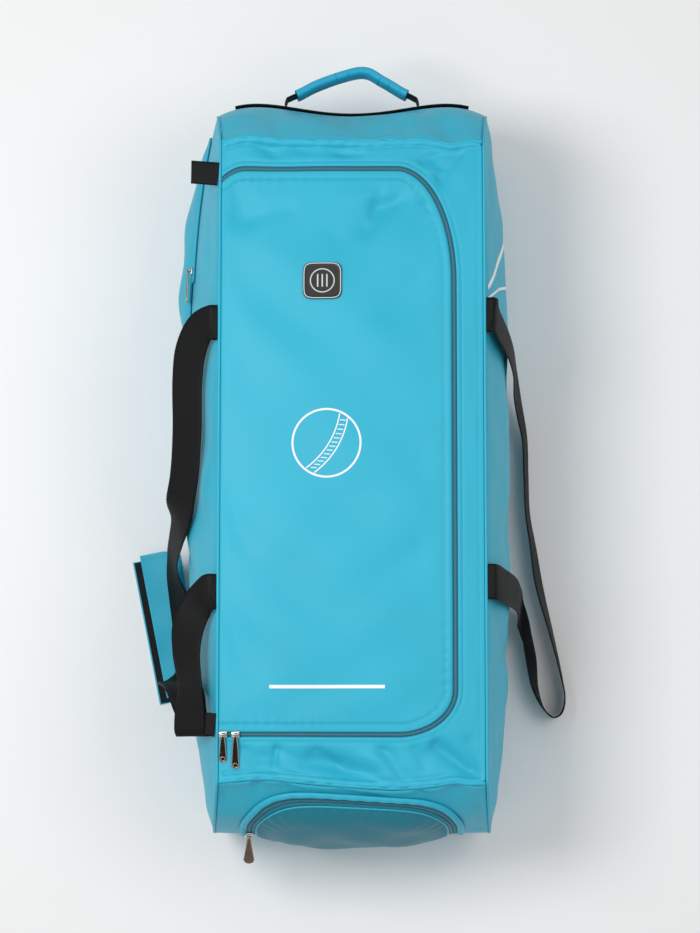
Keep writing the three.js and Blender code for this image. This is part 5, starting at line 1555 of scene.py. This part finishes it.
def pocket_pull(label, surface, outward, place, tall_way, lean, shape, metals, slots):
    """A pocket zip's slider and pull at a place on a wall."""
    foot_point, foot_way = stand_off(surface, outward, np.array([place[0]]), np.array([place[1]]), 0.004)
    normal = Vector(foot_way[0])
    along = Vector(tall_way)
    along = (along - normal * along.dot(normal)).normalized()
    base = frame_of(along.cross(normal), along, normal, Vector(foot_point[0]))
    pivot = slider(label + "_slider_body", label + "_slider", base, bright_metal)
    matrix = Matrix.Translation(pivot) @ base.to_3x3().to_4x4() @ Matrix.Rotation(lean, 4, "X")
    pull(label + "_pull_metal", label + "_pull", shape[0], shape[1], shape[2], shape[3], matrix,
         metals, slots)


side_at = (lerp(side_run[0], side_run[-1], 1 / 12), side_level[0])
pocket_pull("side", left_wall, LEFT, side_at, (0, 1, 0), 0.02, (0.044, 0.006, 0.009, 0.002),
            plain_metals, "pull_metal")
end_angle = math.pi * 27 / 28
end_reach = (END_POCKET["half"][0] + ZIP_CLEAR, END_POCKET["half"][1] + ZIP_CLEAR)
end_flat = (abs(math.cos(end_angle)) ** 3.4 + abs(math.sin(end_angle)) ** 3.4) ** (-1 / 3.4)
end_at = (end_reach[0] * math.cos(end_angle) * end_flat,
          END_POCKET["middle"] + end_reach[1] * math.sin(end_angle) * end_flat)
pocket_pull("end", low_end, DOWN, end_at, (0, 0, 1), -0.7, (0.045, 0.006, 0.013, 0.0032),
            (brass, brass), "antique_metal")

# Printed marks
# White marks printed on the cloth: a plain ball with a stitched seam on the lid, a line below
# it, and slanted lines on the right wall.
white_print = woven_cloth("white_print", srgb(236, 238, 240), 0.5)


def mark(name, line, width, close=False, count=None):
    """A printed line that follows the lid's cloth, from places across and along it."""
    line = np.asarray(line, float)
    if close:
        line = np.vstack([line, line[:1]])
    steps = count or max(int(line_length(line) / 0.002), 4)
    gone = np.concatenate([[0], np.cumsum(np.linalg.norm(np.diff(line, axis=0), axis=1))])
    wanted = np.linspace(0, gone[-1], steps + 1)
    middle = np.stack([np.interp(wanted, gone, line[:, k]) for k in (0, 1)], axis=1)
    ahead = np.gradient(middle, axis=0)
    if close:
        ahead[0] = ahead[-1] = middle[1] - middle[-2]
    ahead /= np.linalg.norm(ahead, axis=1, keepdims=True)
    aside = np.stack([-ahead[:, 1], ahead[:, 0]], axis=1)

    def place(s, t):
        k = np.rint(t * steps).astype(int)
        flat = middle[k] + aside[k] * ((s - 0.5) * width)[:, None]
        return deck_lift(flat[:, 0], flat[:, 1], CLOTH / 2 + 0.00018)[0]

    piece = face_out(skin(name, 3, steps, place, (width, gone[-1]), close), (0, 0, 1))
    return belong(piece, white_print, "coated_cloth")


ball = np.array((-0.033, 0.022))
turn = np.linspace(0, 2 * math.pi, 90, endpoint=False)
mark("printed_ball", ball + 0.044 * np.stack([np.cos(turn), np.sin(turn)], axis=1), 0.0026, True)
sweep = np.linspace(-0.96, 0.96, 40)
lie = np.array((math.sin(0.55), math.cos(0.55)))
for k in (-1, 1):
    bowed = 0.006 * k + 0.009 * (1 - sweep**2)
    seam_line = ball + np.outer(0.043 * sweep, lie) + np.outer(bowed, (lie[1], -lie[0]))
    mark("printed_seam_%s" % ("inner" if k < 0 else "outer"), seam_line, 0.0016)
for k, share in enumerate(np.linspace(-0.84, 0.84, 13)):
    middle = ball + 0.043 * share * lie + 0.009 * (1 - share**2) * np.array((lie[1], -lie[0]))
    slant = 0.0034 * np.array((lie[1] + 0.5 * lie[0], -lie[0] + 0.5 * lie[1]))
    mark("printed_stitch_%d" % (k + 1), [middle - slant, middle + slant], 0.0012)
mark("printed_line", [(-0.106, -0.292), (0.042, -0.292)], 0.0045)


def side_mark(name, start, end, width):
    """A printed line on the right wall, from places along and up it."""
    line = np.linspace(start, end, 60)
    run = np.subtract(end, start) / np.hypot(*np.subtract(end, start))

    def place(s, t):
        k = np.rint(t * 59).astype(int)
        y = line[k, 0] - run[1] * (s - 0.5) * width
        z = line[k, 1] + run[0] * (s - 0.5) * width
        u, v = y / REACH[1], share_at(z)
        points = side_surface(1, u, v)
        points[:, 0] += side_relief(1, u, v) + CLOTH / 2 + 0.0003
        return points

    piece = face_out(skin(name, 3, 59, place, (width, line_length(line))), (1, 0, 0))
    return belong(piece, white_print, "coated_cloth")


side_mark("printed_upper_stripe", (0.262, 0.318), (0.318, 0.20), 0.008)
side_mark("printed_lower_stripe", (0.247, 0.318), (0.252, 0.20), 0.004)
